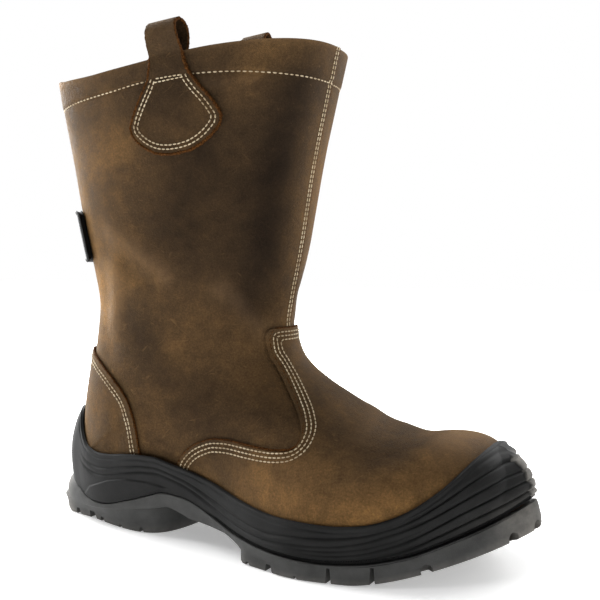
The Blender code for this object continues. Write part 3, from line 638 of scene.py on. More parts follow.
lifted = skin + skin_normals * GAP
vamp = sheet("vamp_leather", lifted[(STATIONS > 2) & (STATIONS < 17)])
vamp_line = fair(VAMP_EDGE, 140)
vamp_low = np.column_stack([VAMP_LOW_X, cup_top_z(VAMP_LOW_X) - TUCK])
overlay(vamp, leather("vamp_leather", 1.0), np.vstack([vamp_line, vamp_low[1:], VAMP_TOE]))
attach(vamp, "root")
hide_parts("vamp")


# Heel counter: a stiff second layer round the heel, cut to a curve that falls forwards to the sole and sewn
# with two rows of stitches.
COUNTER_EDGE = table("x z", (
    (-5, 110), (24, 109), (35, 105.5), (46, 99.7), (58, 91.3), (66.5, 82.5), (70.8, 74), (73.7, 63), (76, 48),
    (77, 38),
))
COUNTER_LOW_X = np.array((66, 58, 50, 42, 34))
COUNTER_BACK = ((22, 46), (-5, 56))
counter_rows = (STATIONS > 10.5) & (STATIONS < 21)
round_heel = np.append(np.flatnonzero(SHARES > 0.4), np.flatnonzero(SHARES < -0.4))
counter = sheet("heel_counter_leather", lifted[counter_rows][:, round_heel])
weld(counter)
counter_line = fair(COUNTER_EDGE, 110)
counter_low = np.column_stack([COUNTER_LOW_X, cup_top_z(COUNTER_LOW_X) - TUCK])
overlay(counter, leather("counter_leather", 0.92), np.vstack([counter_line, counter_low, COUNTER_BACK]))
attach(counter, "root")
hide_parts("heel_counter")


# Pull loops: a strap of the same leather on each side. It is sewn to the shaft as a spade-shaped patch,
# stands over the collar as a finger loop and goes down inside.
LOOPS = ((-1, 110.3, 16.2), (1, 97.0, 36.8))       # side, middle and height of each
LOOP_TAPER, LOOP_SPREAD, LOOP_LEATHER, LOOP_INSIDE = 1.2, 4.2, 1.8, 34.0
STRAP_COLUMNS = 17
FRAY_STEP, FIBRES, SPADE_FRAY, STRAP_FRAY = 0.7, 7, 1.45, 1.0
SPADE_DEEP = 55.0
SPADE_LEAN = 0.047         # how far the patch hangs towards the toe for each millimetre below the collar
FACET, FLARE_RUN = 1.0, 12.0
SPADE = table("below half", (
    (0, 10.2), (8, 11.6), (14, 14.2), (20, 18.3), (26, 22.5), (32, 26), (37, 27.8), (41, 27), (45, 24),
    (49, 19.5), (52, 14.5), (54, 9), (SPADE_DEEP, 2.5),
))
spade_half = smooth(SPADE["below"], SPADE["half"])


def meet(start, direction):
    """Point where a line from inside meets the skin, and how squarely it does."""
    heading = Vector(direction).normalized()
    point, normal = skin_tree.ray_cast(Vector(start), heading)[:2]
    return None if point is None else (np.array(point), abs(heading.dot(normal)))


def side_y(x, z, sign):
    """Half width of the shaft at a height, carried on straight above the collar."""
    edge = collar_z(x) - 2
    levels = (min(z, edge), edge - FLARE_RUN, edge)
    here, lower, rim = [abs(meet((x, 0, level), (0, sign, 0))[0][1]) for level in levels]
    return here + max(z - edge, 0) * (rim - lower) / FLARE_RUN


def frayed_edge(name, runs, radius):
    """Fibres along a cut edge, as thin uneven rolls: each run is a line and the leather's normals along it.

    The radius is one number, or one for each place on the line.
    """
    chance = np.random.default_rng(11)
    angles = np.linspace(0, 2 * np.pi, FIBRES + 1)[:, None]
    rolls = []
    for path, normals in runs:
        run = run_of(path)
        at = np.arange(0, run[-1], FRAY_STEP)
        thick = np.interp(at, run, np.broadcast_to(radius, len(run)))[:, None]
        path, normals = along(path, run, at), along(normals, run, at)
        heading = unit(np.gradient(path, axis=0))
        normals = unit(normals - heading * np.sum(normals * heading, 1)[:, None])
        reach = thick * (0.78 + 0.5 * chance.random((len(at), FIBRES)) ** 2)
        reach = np.concatenate([reach, reach[:, :1]], 1)
        reach[0] = reach[-1] = 0.0
        side = np.cross(normals, heading)
        ring = side[:, None] * np.cos(angles) * 0.7 + normals[:, None] * np.sin(angles)
        rolls.append(sheet(name, path[:, None] + ring * reach[..., None]))
        weld(rolls[-1], closed=True)
    pick(rolls[0])
    for roll in rolls[1:]:
        roll.select_set(True)
        bpy.ops.object.join()
    rolls[0].name = rolls[0].data.name = name
    rolls[0].data.materials.append(raw_edge)
    round_shading(rolls[0], 1.2)
    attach(rolls[0], "root")


def pull_loop(name, sign, middle, height):
    """Strap from its patch up over the collar and down inside the shaft, and the frayed line of its edge."""
    depths = np.append(np.linspace(SPADE_DEEP, 50, 12), np.linspace(49, 1, 36))
    rows = [(GAP, -below, spade_half(below), SPADE_LEAN * below) for below in depths]
    inside, strap_half = -WALL - GAP - FACET, SPADE["half"][0]
    for angle in np.linspace(0, np.pi, 41):
        sway = (GAP + inside) / 2 + (GAP - inside) / 2 * np.cos(angle) + LOOP_SPREAD * np.sin(2 * angle)
        rows.append((sway, height * np.sin(angle), strap_half - LOOP_TAPER * np.sin(angle), 0))
    rows += [(inside, -below, strap_half, 0) for below in np.linspace(3, LOOP_INSIDE, 12)]
    points = []
    for stand_off, rise, width, lean in rows:
        for share in np.linspace(sign, -sign, STRAP_COLUMNS):
            x = middle + lean + share * width
            z = collar_z(x) + rise
            points.append((x, sign * (side_y(x, z, sign) + stand_off), z))
    grid = np.array(points).reshape(len(rows), STRAP_COLUMNS, 3)
    item = sheet(name, grid)
    for material in (leather(name, 0.6), flesh, raw_edge):
        item.data.materials.append(material)
    work(item, "SOLIDIFY", thickness=LOOP_LEATHER * 0.001, offset=1.0, use_even_offset=True,
         material_offset=1, material_offset_rim=2)
    work(item, "BEVEL", width=0.0004, segments=2, limit_method="ANGLE", angle_limit=1.0)
    round_shading(item, 0.9)
    paint(item, "pull", lambda places: 0.35 * np.clip((places[:, 2] - collar_z(places[:, 0])) / height, 0, 1))
    paint(item, "tone", lambda places: np.ones(len(places)))
    faces = unit(np.cross(np.gradient(grid, axis=1), np.gradient(grid, axis=0)))
    edge, normals = [np.vstack([part[::-1, 0], part[0, 1:-1], part[:, -1]]) for part in (grid, faces)]
    thick = np.where(np.arange(len(rows)) < len(depths), SPADE_FRAY, STRAP_FRAY)
    thick = np.concatenate([thick[::-1], np.full(STRAP_COLUMNS - 2, SPADE_FRAY), thick])
    return item, (edge + normals * LOOP_LEATHER / 2, normals), thick


for name, loop in zip(("pull_loop_lateral", "pull_loop_medial"), LOOPS):
    strap, strap_edge, fray = pull_loop(name + "_strap", *loop)
    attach(strap, "root")
    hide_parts(name)
    frayed_edge(name + "_edge", [strap_edge], fray)


# Badge: a small tab of black rubber on the back of the shaft. It is moulded with a raised border and a plain
# field, and lies bent round the leather.
BADGE_LOW, BADGE_HIGH, BADGE_ANGLE, BADGE_THICK = 164.0, 196.0, 34.0, 4.6
BADGE_BORDER, BADGE_SUNK = 2.2, 0.9
LEG_AXIS_X = 92.0


def badge_points():
    """Front of the tab: rounded corners, raised border and a sunk plain field."""
    levels = np.concatenate([np.linspace(0, 0.16, 9), np.linspace(0.2, 0.8, 9), np.linspace(0.84, 1, 9)])
    shares = np.concatenate([np.linspace(-1, -0.84, 9), np.linspace(-0.8, 0.8, 17), np.linspace(0.84, 1, 9)])
    tall = BADGE_HIGH - BADGE_LOW
    points = []
    for level in levels:
        z = BADGE_LOW + level * tall
        corner = np.clip(1 - np.minimum(level, 1 - level) * tall / 4.0, 0, 1)
        width = 1 - 0.12 * (1 - np.sqrt(1 - corner ** 2))
        for share in shares:
            angle = np.radians(BADGE_ANGLE * width * share)
            direction = np.array((-np.cos(angle), -np.sin(angle), 0))
            to_edge = min(min(level, 1 - level) * tall, (1 - abs(share)) * np.radians(BADGE_ANGLE) * 70)
            field = BADGE_SUNK / (1 + np.exp(-(to_edge - BADGE_BORDER) / 0.25))
            rounded = 0.8 * np.exp(-to_edge / 0.5)
            stand = GAP + BADGE_THICK - field - rounded
            points.append(meet((LEG_AXIS_X, 0, z), direction)[0] + direction * stand)
    return np.array(points).reshape(len(levels), len(shares), 3)


def moulded_effect():
    """Moulded rubber: a fine pebble, slight clouding, and pale dust that lies where a mask says."""
    tree, given, end = effect(
        "moulded_rubber", {"Base": (0.02, 0.02, 0.02, 1), "Dusty": (0.3, 0.28, 0.25, 1), "Dust": 0.0})
    where = add(tree, "TexCoord", {}).outputs["Object"]
    cloud, pebble = noise(tree, where, 60.0, 4.0, 0.6), noise(tree, where, 1100.0, 2.0)
    grit = noise(tree, where, 420.0, 4.0, 0.75)
    shade = ramp(tree, cloud, ((0.3, (0.75, 0.75, 0.75)), (0.7, (1.3, 1.3, 1.3))))
    patch = maths(tree, "MULTIPLY", cloud, maths(tree, "ADD", grit, 0.5))
    laid = maths(tree, "MULTIPLY", given["Dust"], rescale(tree, patch, 0.25, 0.75, 0.35, 1.25), True)
    amount = maths(tree, "ADD", laid, rescale(tree, grit, 0.66, 0.80, 0.0, 0.10), True)
    base = mix(tree, 1.0, given["Base"], shade, "MULTIPLY")
    fill(tree, end, {
        "Color": mix(tree, amount, base, given["Dusty"]),
        "Roughness": rescale(tree, amount, 0.0, 1.0, 0.68, 0.95),
        "Height": maths(tree, "ADD", pebble, maths(tree, "MULTIPLY", grit, 0.5))})
    return tree


moulded_rubber = moulded_effect()


def rubber(name, base, dusty, bump_height, gloss=0.16):
    """Moulded rubber of one piece."""
    material, tree, shader = new_material(name)
    dust = add(tree, "Attribute", {}, attribute_name="dust").outputs["Fac"]
    body = add(tree, "Group", {"Base": (*base, 1), "Dusty": (*dusty, 1), "Dust": dust},
               node_tree=moulded_rubber)
    fill(tree, shader, {
        "Base Color": body.outputs["Color"], "Roughness": body.outputs["Roughness"],
        "Normal": bump(tree, body.outputs["Height"], 0.35, bump_height), "Specular IOR Level": gloss})
    return material


badge = sheet("badge_tab", badge_points())
badge.data.materials.append(rubber("badge_rubber", (0.004, 0.004, 0.004), (0.12, 0.11, 0.10), 0.0002))
work(badge, "SOLIDIFY", thickness=(BADGE_THICK - 1.2) * 0.001, offset=-1.0)
weld(badge, closed=True)
round_shading(badge)
paint(badge, "dust", lambda places: np.zeros(len(places)))
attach(badge, "root")
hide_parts("back_badge")


# Insole: a loose footbed of dark needled felt. It is cut to the plan of the foot and lies on the floor of the
# cup, between the walls of the upper.
INSOLE_INSET, FLOOR_ROOM = 13.0, 0.8
INSOLE_SIDE = ((0.6, 0.0), (0.0, 0.6), (0.0, 3.0), (0.3, 3.6), (1.0, 4.0))     # inset and rise of each ring
FINE_WELD = 0.000002       # joins only points that truly coincide


def shell(name, rings):
    """Closed shell from rings of points, the first and last drawn together along the middle of the sole."""
    low, high = [(ring + np.roll(ring[::-1], 1, 0)) / 2 for ring in (rings[0], rings[-1])]
    points = np.array([low] + rings + [high])
    item = sheet(name, np.concatenate([points, points[:, :1]], 1))
    weld(item, closed=True, reach=FINE_WELD)
    return item


insole_floor = FLOOR_ROOM - 2 * GAP
insole_rings = []
for inset, rise in INSOLE_SIDE:
    plan = sole_outline(240, -INSOLE_INSET - inset)
    insole_rings.append(np.column_stack([plan, footbed_z(plan[:, 0]) - insole_floor + rise]))
insole = shell("insole_felt", insole_rings)
insole.data.materials.append(suede("felt", (0.040, 0.037, 0.034), 900.0))
round_shading(insole)
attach(insole, "root")
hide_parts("insole")


# Midsole: a cup of black polyurethane moulded straight onto the upper. It has a rolled upper edge, sunk lines
# along its side, a raised lens on each side of the heel, and a toe bumper with ribs and a scuffed panel at
# the tip. Fine upright teeth fill the groove between cup and tread from the waist round the toe.
CUP_COLUMNS = 640
CUP_RISES = np.concatenate([np.linspace(0, 0.9, 90, endpoint=False), np.linspace(0.9, 1, 14)])
CUP_INSIDE = np.array((1, 0.85, 0.7, 0.4, 0.15, 0))
PIVOT_INSET, LIP, CUP_ROOM, TOE_ROOM = 36.0, 1.6, 2.8, 0.3
LIP_ROUND, LIP_ROUND_DEEP = 1.1, 0.75
FOOT_STEP, FOOT_ROWS = 0.02, 8             # the least rise of the lowest rows
TOE_START, TOE_BLEND, LEAST_SQUARE, SWELL = 245.0, 15.0, 0.35, 1.6
LINE_DEPTH, LINE_WIDTH = 1.3, 1.35
TOE_GROOVE, TOE_GROOVE_WIDTH = 1.3, 0.62
RECESS, RECESS_TALL = 1.3, 1.9
POD_HEIGHT = 0.9
TOOTH_STEP, TOOTH_OUT, TOOTH_DEEP, TEETH_FROM = 0.24, 0.8, 0.9, 128.0
TOOTH_SUNK, TOOTH_FOOT, TOOTH_HEAD = 0.1, 0.1, 0.3
OUTLINE_RUN = 820.0        # about as long as the sole's outline, weighted by its bends
CUP_LINES = table("x first second third fourth fifth", (
    (0, 0.80, 0.70, 0.5, 0.4, 0.15), (40, 0.74, 0.60, 0.5, 0.4, 0.15), (75, 0.77, 0.63, 0.48, 0.38, 0.15),
    (95, 0.70, 0.52, 0.42, 0.34, 0.15), (122, 0.55, 0.33, 0.25, 0.2, 0.14),
    (150, 0.50, 0.26, 0.22, 0.18, 0.13), (171, 0.50, 0.28, 0.24, 0.18, 0.12),
    (190, 0.62, 0.40, 0.30, 0.21, 0.12), (218, 0.74, 0.52, 0.38, 0.25, 0.12),
    (245, 0.80, 0.66, 0.48, 0.36, 0.17), (265, 0.79, 0.61, 0.50, 0.39, 0.19),
    (300, 0.75, 0.55, 0.46, 0.36, 0.17),
))
LINE_REACH = {
    "first": (20, 40), "second": (20, 40), "third": (165, 215), "fourth": (180, 225), "fifth": (190, 230)}
TOE_LINES = ("first", "second", "fourth", "fifth")
POD = table("x z half", (
    (26, 17, 0), (34, 19.5, 5), (52, 23, 8), (66, 26, 7.5), (80, 28.5, 4.5), (95, 30, 0)))


def ease(value, low, high):
    """Smooth step from 0 to 1 between two values."""
    share = np.clip((value - low) / (high - low), 0, 1)
    return share * share * (3 - 2 * share)


def tip_panel(points):
    """Mask of the scuffed panel at the tip of the toe, with scalloped sides."""
    x, y, z = points.T
    scallop = 2.2 * np.abs(np.sin((z - 40) * np.pi / 7.5))
    across = ease(y, 3.2 - scallop, 4.4 - scallop) * (1 - ease(y, 24 + scallop, 26 + scallop))
    return across * ease(x, 270, 276) * ease(z, 39, 41) * (1 - ease(z, 60, 63))


def cup_relief(points, share, tall):
    """Height of the lines, ribs, lens and panel on the side of the cup."""
    x, z = points[:, 0], points[:, 2]
    total = np.zeros(len(points))
    toe = ease(x, 240, 264)
    depth = LINE_DEPTH + (TOE_GROOVE - LINE_DEPTH) * toe
    width = LINE_WIDTH + (TOE_GROOVE_WIDTH - LINE_WIDTH) * toe
    for name, (low, high) in LINE_REACH.items():
        gap = np.abs(share - smooth(CUP_LINES["x"], CUP_LINES[name])(x)) * tall
        kept = 1.0 if name in TOE_LINES else 1 - ease(x, 240, 262)
        total -= depth * kept * ease(x, low, high) * np.exp(-(gap / width) ** 1.6)
    total -= RECESS * ease(x, 115, 145) * (1 - ease(share * tall, RECESS_TALL - 0.3, RECESS_TALL + 0.3))
    total -= 0.5 * np.exp(-(((1 - share) * tall - 2.6) / 0.8) ** 2)
    half = np.interp(x, POD["x"], POD["half"])
    lens = ease(half - np.abs(z - np.interp(x, POD["x"], POD["z"])), 0, 1.6)
    return total + POD_HEIGHT * lens + 0.9 * tip_panel(points)


def even_out(values, rounds):
    """Smooths a row of values in place, apart from its ends."""
    for _ in range(rounds):
        values[1:-1] = (values[:-2] + 2 * values[1:-1] + values[2:]) / 4


def cup_rings():
    """Rings of the cup from its foot up the outside, over the lip and down the inside."""
    plan = sole_outline(CUP_COLUMNS)
    to_outside = outward(plan)
    up = np.array((0, 0, 1.0))
    columns, tops = [], []
    for corner, out in zip(plan, to_outside):
        pivot = np.append(corner - out * PIVOT_INSET, parting_z(corner[0]))
        spread = np.append(out, 0)
        hits = []
        for angle in np.linspace(0.02, 1.5, 155):
            met = meet(pivot, spread * np.cos(angle) + up * np.sin(angle))
            if met is not None:
                point, square = met
                hits.append((angle, np.linalg.norm(point - pivot), max(square, LEAST_SQUARE)))
                if point[2] > cup_top_z(point[0]) and len(tops) == len(columns):
                    tops.append(angle)
        angles, lengths, squares = np.array(hits).T
        windows = np.lib.stride_tricks.sliding_window_view(np.pad(squares, 8, mode="edge"), 17)
        even_out(lengths, 30)
        columns.append((pivot, spread, angles, lengths, np.median(windows, axis=1)))
    tops = np.array(tops)
    for _ in range(20):
        tops = (np.roll(tops, 1) + 2 * tops + np.roll(tops, -1)) / 4
    outer, inner = [], []
    for corner, out, top, (pivot, spread, angles, lengths, squares) in zip(plan, to_outside, tops, columns):
        toe = np.clip((corner[0] - TOE_START) / TOE_BLEND, 0, 1)
        inside = lengths + (CUP_ROOM + TOE_ROOM * toe) / squares
        rim = np.interp(top, angles, inside) * np.array([np.cos(top), np.sin(top)]) + (LIP, 0)
        angle = CUP_RISES * np.arctan2(rim[1], rim[0])
        inset = cup_inset(corner[0])
        first, last = PIVOT_INSET - inset, np.hypot(*rim)
        length = first + (last - first) * CUP_RISES ** SWELL
        least = np.interp(angle, angles, inside + LIP / squares, left=0)
        length = np.maximum(length, np.where(CUP_RISES < 1, least, 0))
        ray = spread * np.cos(angle)[:, None] + up * np.sin(angle)[:, None]
        wall = pivot + length[:, None] * ray
        tall = wall[-1, 2] - wall[0, 2]
        share = (wall[:, 2] - wall[0, 2]) / tall
        lip = np.clip(1 - (1 - share) * tall / LIP_ROUND, 0, 1)
        rounded = LIP_ROUND_DEEP * (1 - np.sqrt(1 - lip ** 2))
        wall = wall + ray * (cup_relief(wall, share, tall) - rounded)[:, None]
        wall[0] = np.append(corner - out * inset, parting_z(corner[0]) + GAP)
        lowest = wall[0, 2] + FOOT_STEP * np.arange(len(wall)).clip(0, FOOT_ROWS)
        wall[:, 2] = np.maximum(wall[:, 2], lowest)
        outer.append(wall)
        angle = angles[0] + CUP_INSIDE * (top - angles[0])
        length = np.interp(angle, angles, inside)
        side = pivot + length[:, None] * (spread * np.cos(angle)[:, None] + up * np.sin(angle)[:, None])
        side[-1, 2] = footbed_z(side[-1, 0]) - FLOOR_ROOM
        inner.append(side)
    return list(np.array(outer).transpose(1, 0, 2)) + list(np.array(inner).transpose(1, 0, 2))


def cup_dust(points):
    """Dust and scuffs: the toe's panel, the low front of the bumper and the spur behind the heel."""
    x, y, z = points.T
    low_front = ease(x, 262, 292) * (1 - ease(z - parting_z(x), 2, 14)) * 0.10
    spur = (1 - ease(x, 2, 16)) * 0.09
    return np.clip(0.85 * tip_panel(points) + low_front + spur, 0, 1)


midsole = shell("midsole_cup", cup_rings())
polyurethane = rubber("black_polyurethane", (0.0105, 0.0105, 0.0102), (0.30, 0.285, 0.26), 0.00025, 0.2)
midsole.data.materials.append(polyurethane)
round_shading(midsole, 0.8)
paint(midsole, "dust", cup_dust)
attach(midsole, "root")
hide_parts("midsole")

tooth_plan = sole_outline(int(OUTLINE_RUN / TOOTH_STEP))
toothed = tooth_plan[:, 0] > TEETH_FROM
tooth_plan, tooth_out = tooth_plan[toothed], outward(tooth_plan)[toothed]
proud = np.where(np.arange(len(tooth_plan)) // 2 % 2, TOOTH_OUT, 0) - RECESS - TOOTH_SUNK
tooth_line = tooth_plan + tooth_out * (proud - cup_inset(tooth_plan[:, 0]))[:, None]
foot_z = parting_z(tooth_plan[:, 0]) + GAP
teeth = sheet("midsole_teeth", np.stack([
    np.column_stack([tooth_line, foot_z + rise]) for rise in (TOOTH_FOOT, RECESS_TALL - TOOTH_HEAD)]))
teeth.data.materials.append(polyurethane)
work(teeth, "SOLIDIFY", thickness=TOOTH_DEEP * 0.001, offset=-1.0)
weld(teeth, closed=True, reach=FINE_WELD)
paint(teeth, "dust", lambda places: np.zeros(len(places)))
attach(teeth, "root")


# Outsole: dark grey rubber tread under the cup. It has a heel block with a rounded back, an arch, square lugs
# with slots open to the side, round-topped notches round the toe, and a ledge along its side.
HEEL_ROUND, HEEL_ROUND_RISE = 6.0, 2.2
SPRING_START, TOE_SPRING = 222.0, 24.5
HEEL_KICK, HEEL_KICK_RUN = 6.4, 16.0
PLATE = table("x z", (
    (0, 10.5), (12, 9.8), (24, 9.6), (43, 10.6), (59, 12.2), (70, 13.8), (82, 15.4), (92, 17.4), (103, 14.6),
    (111, 12.3), (128, 12.1), (140, 12), (148, 10.4), (153, 8.4), (158, 5.5), (180, 5), (206, 4.4),
    (228, 5.6), (254, 10.5), (272, 17), (290, 24.5), (305, 32),
))
PLATE_SIDE = (
    (0, -3.0), (0.06, -1.6), (0.2, -0.8), (0.45, -0.5), (0.7, -0.4), (0.88, -0.4), (0.96, -0.5), (1, -0.9))
HEEL_PLAN = (
    (-8.2, 0), (-6.2, -10), (-1.2, -18.6), (10, -25.4), (26, -31), (44, -35.6), (60, -37), (74, -36.2),
    (82, -33.6), (88, -28.4), (91.5, -20), (93.5, -8), (94, 2), (92.5, 14), (89.5, 22), (84.5, 28.5),
    (76, 33.2), (60, 35), (44, 35), (26, 31), (10, 25.4), (-1.2, 18.6), (-6.2, 10),
)
HEEL_CONTACT = (
    (-7, 0), (-5.2, -9), (0.4, -17.4), (12, -22.4), (29, -26.5), (43, -31), (56.7, -34.8), (66.6, -36.6),
    (75.5, -36.4), (82.3, -34.2), (87.3, -29.6), (90.3, -23.5), (92.2, -15.6), (93.4, -6), (93.5, 2),
    (92, 13.5), (89, 21.5), (84, 27.5), (76, 32), (62, 33.5), (43, 31), (29, 26.5), (12, 22.4), (0.4, 17.4),
    (-5.2, 9),
)
FOREFOOT_PLAN = (
    (152.5, 0), (152.5, -24), (152.6, -42), (153.4, -50), (156.5, -55.6), (164, -58.8), (176, -62),
    (188, -65), (208, -64.2), (228, -60), (246, -53), (262, -43.5), (276, -33.5), (288, -22.5), (299, -8.5),
    (305, 8.5), (299.5, 22), (288, 34), (262, 49), (228, 53), (208, 51.5), (188, 48), (174, 42.5),
    (162, 37.5), (155.5, 31), (153, 22), (152.5, 12),
)
FOREFOOT_TOP = tuple((x - 3.2 * max(x - 276, 0) / 29, y) for x, y in FOREFOOT_PLAN)
BLOCK_EDGE = ((-1.3, 0.0), (-0.5, 0.3), (0.0, 1.3))
BLOCK_SIDE = ((0.3, 0), (0.6, 0), (0.85, 0.1), (0.95, 0), (1, -0.9))
SLOT_TOP, SLOT_FLARE, SLOT_LONG = 0.7, 2.2, 180        # a slot is narrower at its top and widens downwards
CROSS_SLOTS = (
    (-3.0, 3.4, 4.4), (13.5, 4.2, 4.4), (28.5, 6.4, 5.2), (38.5, 3.6, 3.4), (57.0, 2.6, 2.0),
    (74.0, 2.8, 3.0), (161.5, 3.0, 2.2), (177.0, 4.6, 4.4), (194.5, 1.8, 2.0), (212.7, 2.6, 4.5),
    (234.7, 2.6, 4.5),
)
SIDE_SLOTS, SIDE_SLOT_LONG, SIDE_SLOT_TOP = (212.7, 234.7), 15.0, 1.6
SIDE_SLOT_WIDTH, SIDE_SLOT_FLARE = 1.7, 2.6
NOTCHES = (259.6, 296.0, 304.6)
NOTCH_RADIUS, NOTCH_LONG, NOTCH_RISE = 3.3, 16.0, 1.5
CHANNELS, CHANNEL_WIDTH, CHANNEL_DEPTH = ((24.0, 80.0), (168.0, 232.0)), 6.0, 3.5
plate_z = smooth(PLATE["x"], PLATE["z"])


def tread_z(x):
    """Ground side of the heel and forefoot blocks: rounded heel and toe spring."""
    heel = HEEL_ROUND_RISE * np.clip(1 - x / HEEL_ROUND, 0, 1) ** 2
    spring = TOE_SPRING * np.clip((x - SPRING_START) / (SOLE_LENGTH - SPRING_START), 0, 1) ** 1.5
    return heel + spring


def plate_rings():
    """Plate under the whole cup, arched at the waist and kicked out behind the heel."""
    plan = sole_outline(CUP_COLUMNS)
    out = outward(plan)
    rings = []
    for share, grow in PLATE_SIDE:
        kick = HEEL_KICK * np.exp(-(plan[:, 0] / HEEL_KICK_RUN) ** 2) * (1 - share ** 3)
        ring = plan + out * (grow + kick - 2.6 * share * ease(plan[:, 0], 272, 300))[:, None]
        low, high = plate_z(ring[:, 0]), parting_z(ring[:, 0]) - GAP / 2
        rings.append(np.column_stack([ring, low + share * (high - low)]))
    return rings


def block_rings(foot, top, high, count):
    """Block of the tread: worn lower edge, sides that lean from foot to top, and a rounded upper edge."""
    foot, top = closed_curve(foot, count, 30.0), closed_curve(top, count, 30.0)
    out = outward(foot)
    rings = []
    for grow, rise in BLOCK_EDGE:
        ring = foot + out * grow
        rings.append(np.column_stack([ring, tread_z(ring[:, 0]) + rise]))
    out = outward(top)
    for share, grow in BLOCK_SIDE:
        ring = foot + (top - foot) * share ** 1.5 + out * grow
        low = tread_z(ring[:, 0]) + BLOCK_EDGE[-1][1]
        rings.append(np.column_stack([ring, low + share * (high(ring[:, 0]) - low)]))
    return rings


def carve(item, size, location, turn=0.0, radius=None, flare=1.0):
    """Cuts a slot with a block that may widen downwards, or a round-topped notch with a turned drum."""
    bpy.ops.object.select_all(action="DESELECT")
    if radius is None:
        bpy.ops.mesh.primitive_cube_add(size=1)
        cutter = bpy.context.object
        cutter.scale = np.array(size) * 0.001
        for corner in cutter.data.vertices:
            corner.co.x *= flare if corner.co.z < 0 else 1.0
    else:
        bpy.ops.mesh.primitive_cylinder_add(vertices=24, radius=radius * 0.001, depth=size[0] * 0.001)
        cutter = bpy.context.object
        cutter.rotation_euler = (0, np.pi / 2, 0)
        bpy.ops.object.transform_apply(rotation=True)
        cutter.rotation_euler = (0, 0, turn)
    cutter.location = place(location)
    bpy.ops.object.transform_apply(location=True, rotation=True, scale=True)
    work(item, "BOOLEAN", object=cutter, operation="DIFFERENCE", solver="EXACT")
    bpy.data.objects.remove(cutter, do_unlink=True)


outsole = shell("outsole_tread", plate_rings())
for foot, top, high, count in (
        (HEEL_CONTACT, HEEL_PLAN, lambda x: plate_z(x) + 1.2, 180),
        (FOREFOOT_PLAN, FOREFOOT_TOP, lambda x: parting_z(x) - 0.6, 260)):
    lug = shell("tread_block", block_rings(foot, top, high, count))
    work(outsole, "BOOLEAN", object=lug, operation="UNION", solver="EXACT")
    bpy.data.objects.remove(lug, do_unlink=True)
outsole.data.materials.append(rubber("tread_rubber", (0.066, 0.066, 0.064), (0.30, 0.28, 0.25), 0.0003))
for x, width, depth in CROSS_SLOTS:
    carve(outsole, (width * SLOT_TOP, SLOT_LONG, 2 * depth), (x, 0, tread_z(x)), flare=SLOT_FLARE)
for x in SIDE_SLOTS:
    rise = parting_z(x) - SIDE_SLOT_TOP
    for side in ("lateral", "medial"):
        y = smooth(SOLE_PLAN["x"], SOLE_PLAN[side])(x) * (1 if side == "medial" else -1)
        carve(outsole, (SIDE_SLOT_WIDTH, SIDE_SLOT_LONG, 2 * rise), (x, y, 0), flare=SIDE_SLOT_FLARE)
for start, end in CHANNELS:
    carve(outsole, (end - start, CHANNEL_WIDTH, 2 * CHANNEL_DEPTH), ((start + end) / 2, 0, 0))
edge_plan = sole_outline(1200)
edge_out = outward(edge_plan)
for x in NOTCHES:
    for sign in (-1, 1):
        gap = np.abs(edge_plan[:, 0] - x) + 1000 * (sign * (edge_plan[:, 1] - TOE_TIP_Y) < 0)
        spot, heading = edge_plan[gap.argmin()], edge_out[gap.argmin()]
        turn = np.arctan2(heading[1], heading[0])
        carve(outsole, (NOTCH_LONG,), (*spot, tread_z(spot[0]) + NOTCH_RISE), turn, NOTCH_RADIUS)


def tread_dust(points):
    """Dust on the worn back of the heel, the front of the toe and the edges that meet the ground."""
    x, y, z = points.T
    heel = 0.32 * (1 - ease(x, 0, 16))
    toe = 0.45 * ease(x, 280, 303)
    ground = 0.22 * (1 - ease(z - tread_z(x), 0.5, 4))
    return np.clip(heel + toe + ground, 0, 1)


round_shading(outsole, 0.6)
paint(outsole, "dust", tread_dust)
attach(outsole, "root")
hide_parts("outsole")


# Stitches: thick cream thread, one shaped bead for each stitch. A single row holds the hem, two rows the
# front lap, the spades and the counter, and three rows the vamp. Fibres of the cut edges lie beside them.
STITCH_PITCH, STITCH_LONG, THREAD = 2.75, 2.3, 0.85
HEM_PITCH = 3.3
THREAD_RISE = 0.12         # height of a stitch's middle above the leather
STITCH_AHEAD = 0.6         # how far along its row a stitch takes its direction from
LAP_ROWS, VAMP_ROWS, COUNTER_ROWS, SPADE_ROWS = (2.4, 5.0), (2.1, 4.5, 6.9), (3.6, 6.0), (2.7, 5.0)
SPADE_CROSS_ROWS, SPADE_CROSS_INSET = (12.4, 14.8), 5.5
LAP_SEWN_FROM, LAP_CUT_FROM, LAP_LOW_Z = 15.2, 16, 127.5       # two stations and a height
THROAT_X, THROAT_Z, COUNTER_AXIS_X = 100, 126, 75
HEM_NEAR_Z, COUNTER_NEAR_Z = 265.0, 110.0
LAP_FRAY, OVERLAY_FRAY = 0.6, 0.95
STRAP_CLEAR = 14.5

thread, tree, shader = new_material("cream_thread")
where = add(tree, "TexCoord", {}).outputs["Object"]
soil = ((0.3, (0.34, 0.25, 0.14)), (0.5, (0.52, 0.41, 0.26)), (0.7, (0.64, 0.54, 0.37)))
fill(tree, shader, {
    "Base Color": ramp(tree, noise(tree, where, 90.0, 3.0), soil), "Roughness": 0.7,
    "Normal": bump(tree, noise(tree, where, 2500.0, 2.0), 0.4, 0.0002)})
bpy.ops.object.select_all(action="DESELECT")
bpy.ops.mesh.primitive_uv_sphere_add(segments=8, ring_count=5, radius=0.5, rotation=(0, np.pi / 2, 0))
bead = bpy.context.object
bpy.ops.object.transform_apply(rotation=True)
bead.scale = (STITCH_LONG * 0.001, THREAD * 0.001, THREAD * 0.0009)
bpy.ops.object.transform_apply(scale=True)


def on_skin(points):
    """Nearest places on the skin, with its normals there."""
    found = [skin_tree.find_nearest(Vector(point)) for point in points]
    return np.array([f[0] for f in found]), np.array([f[1] for f in found])


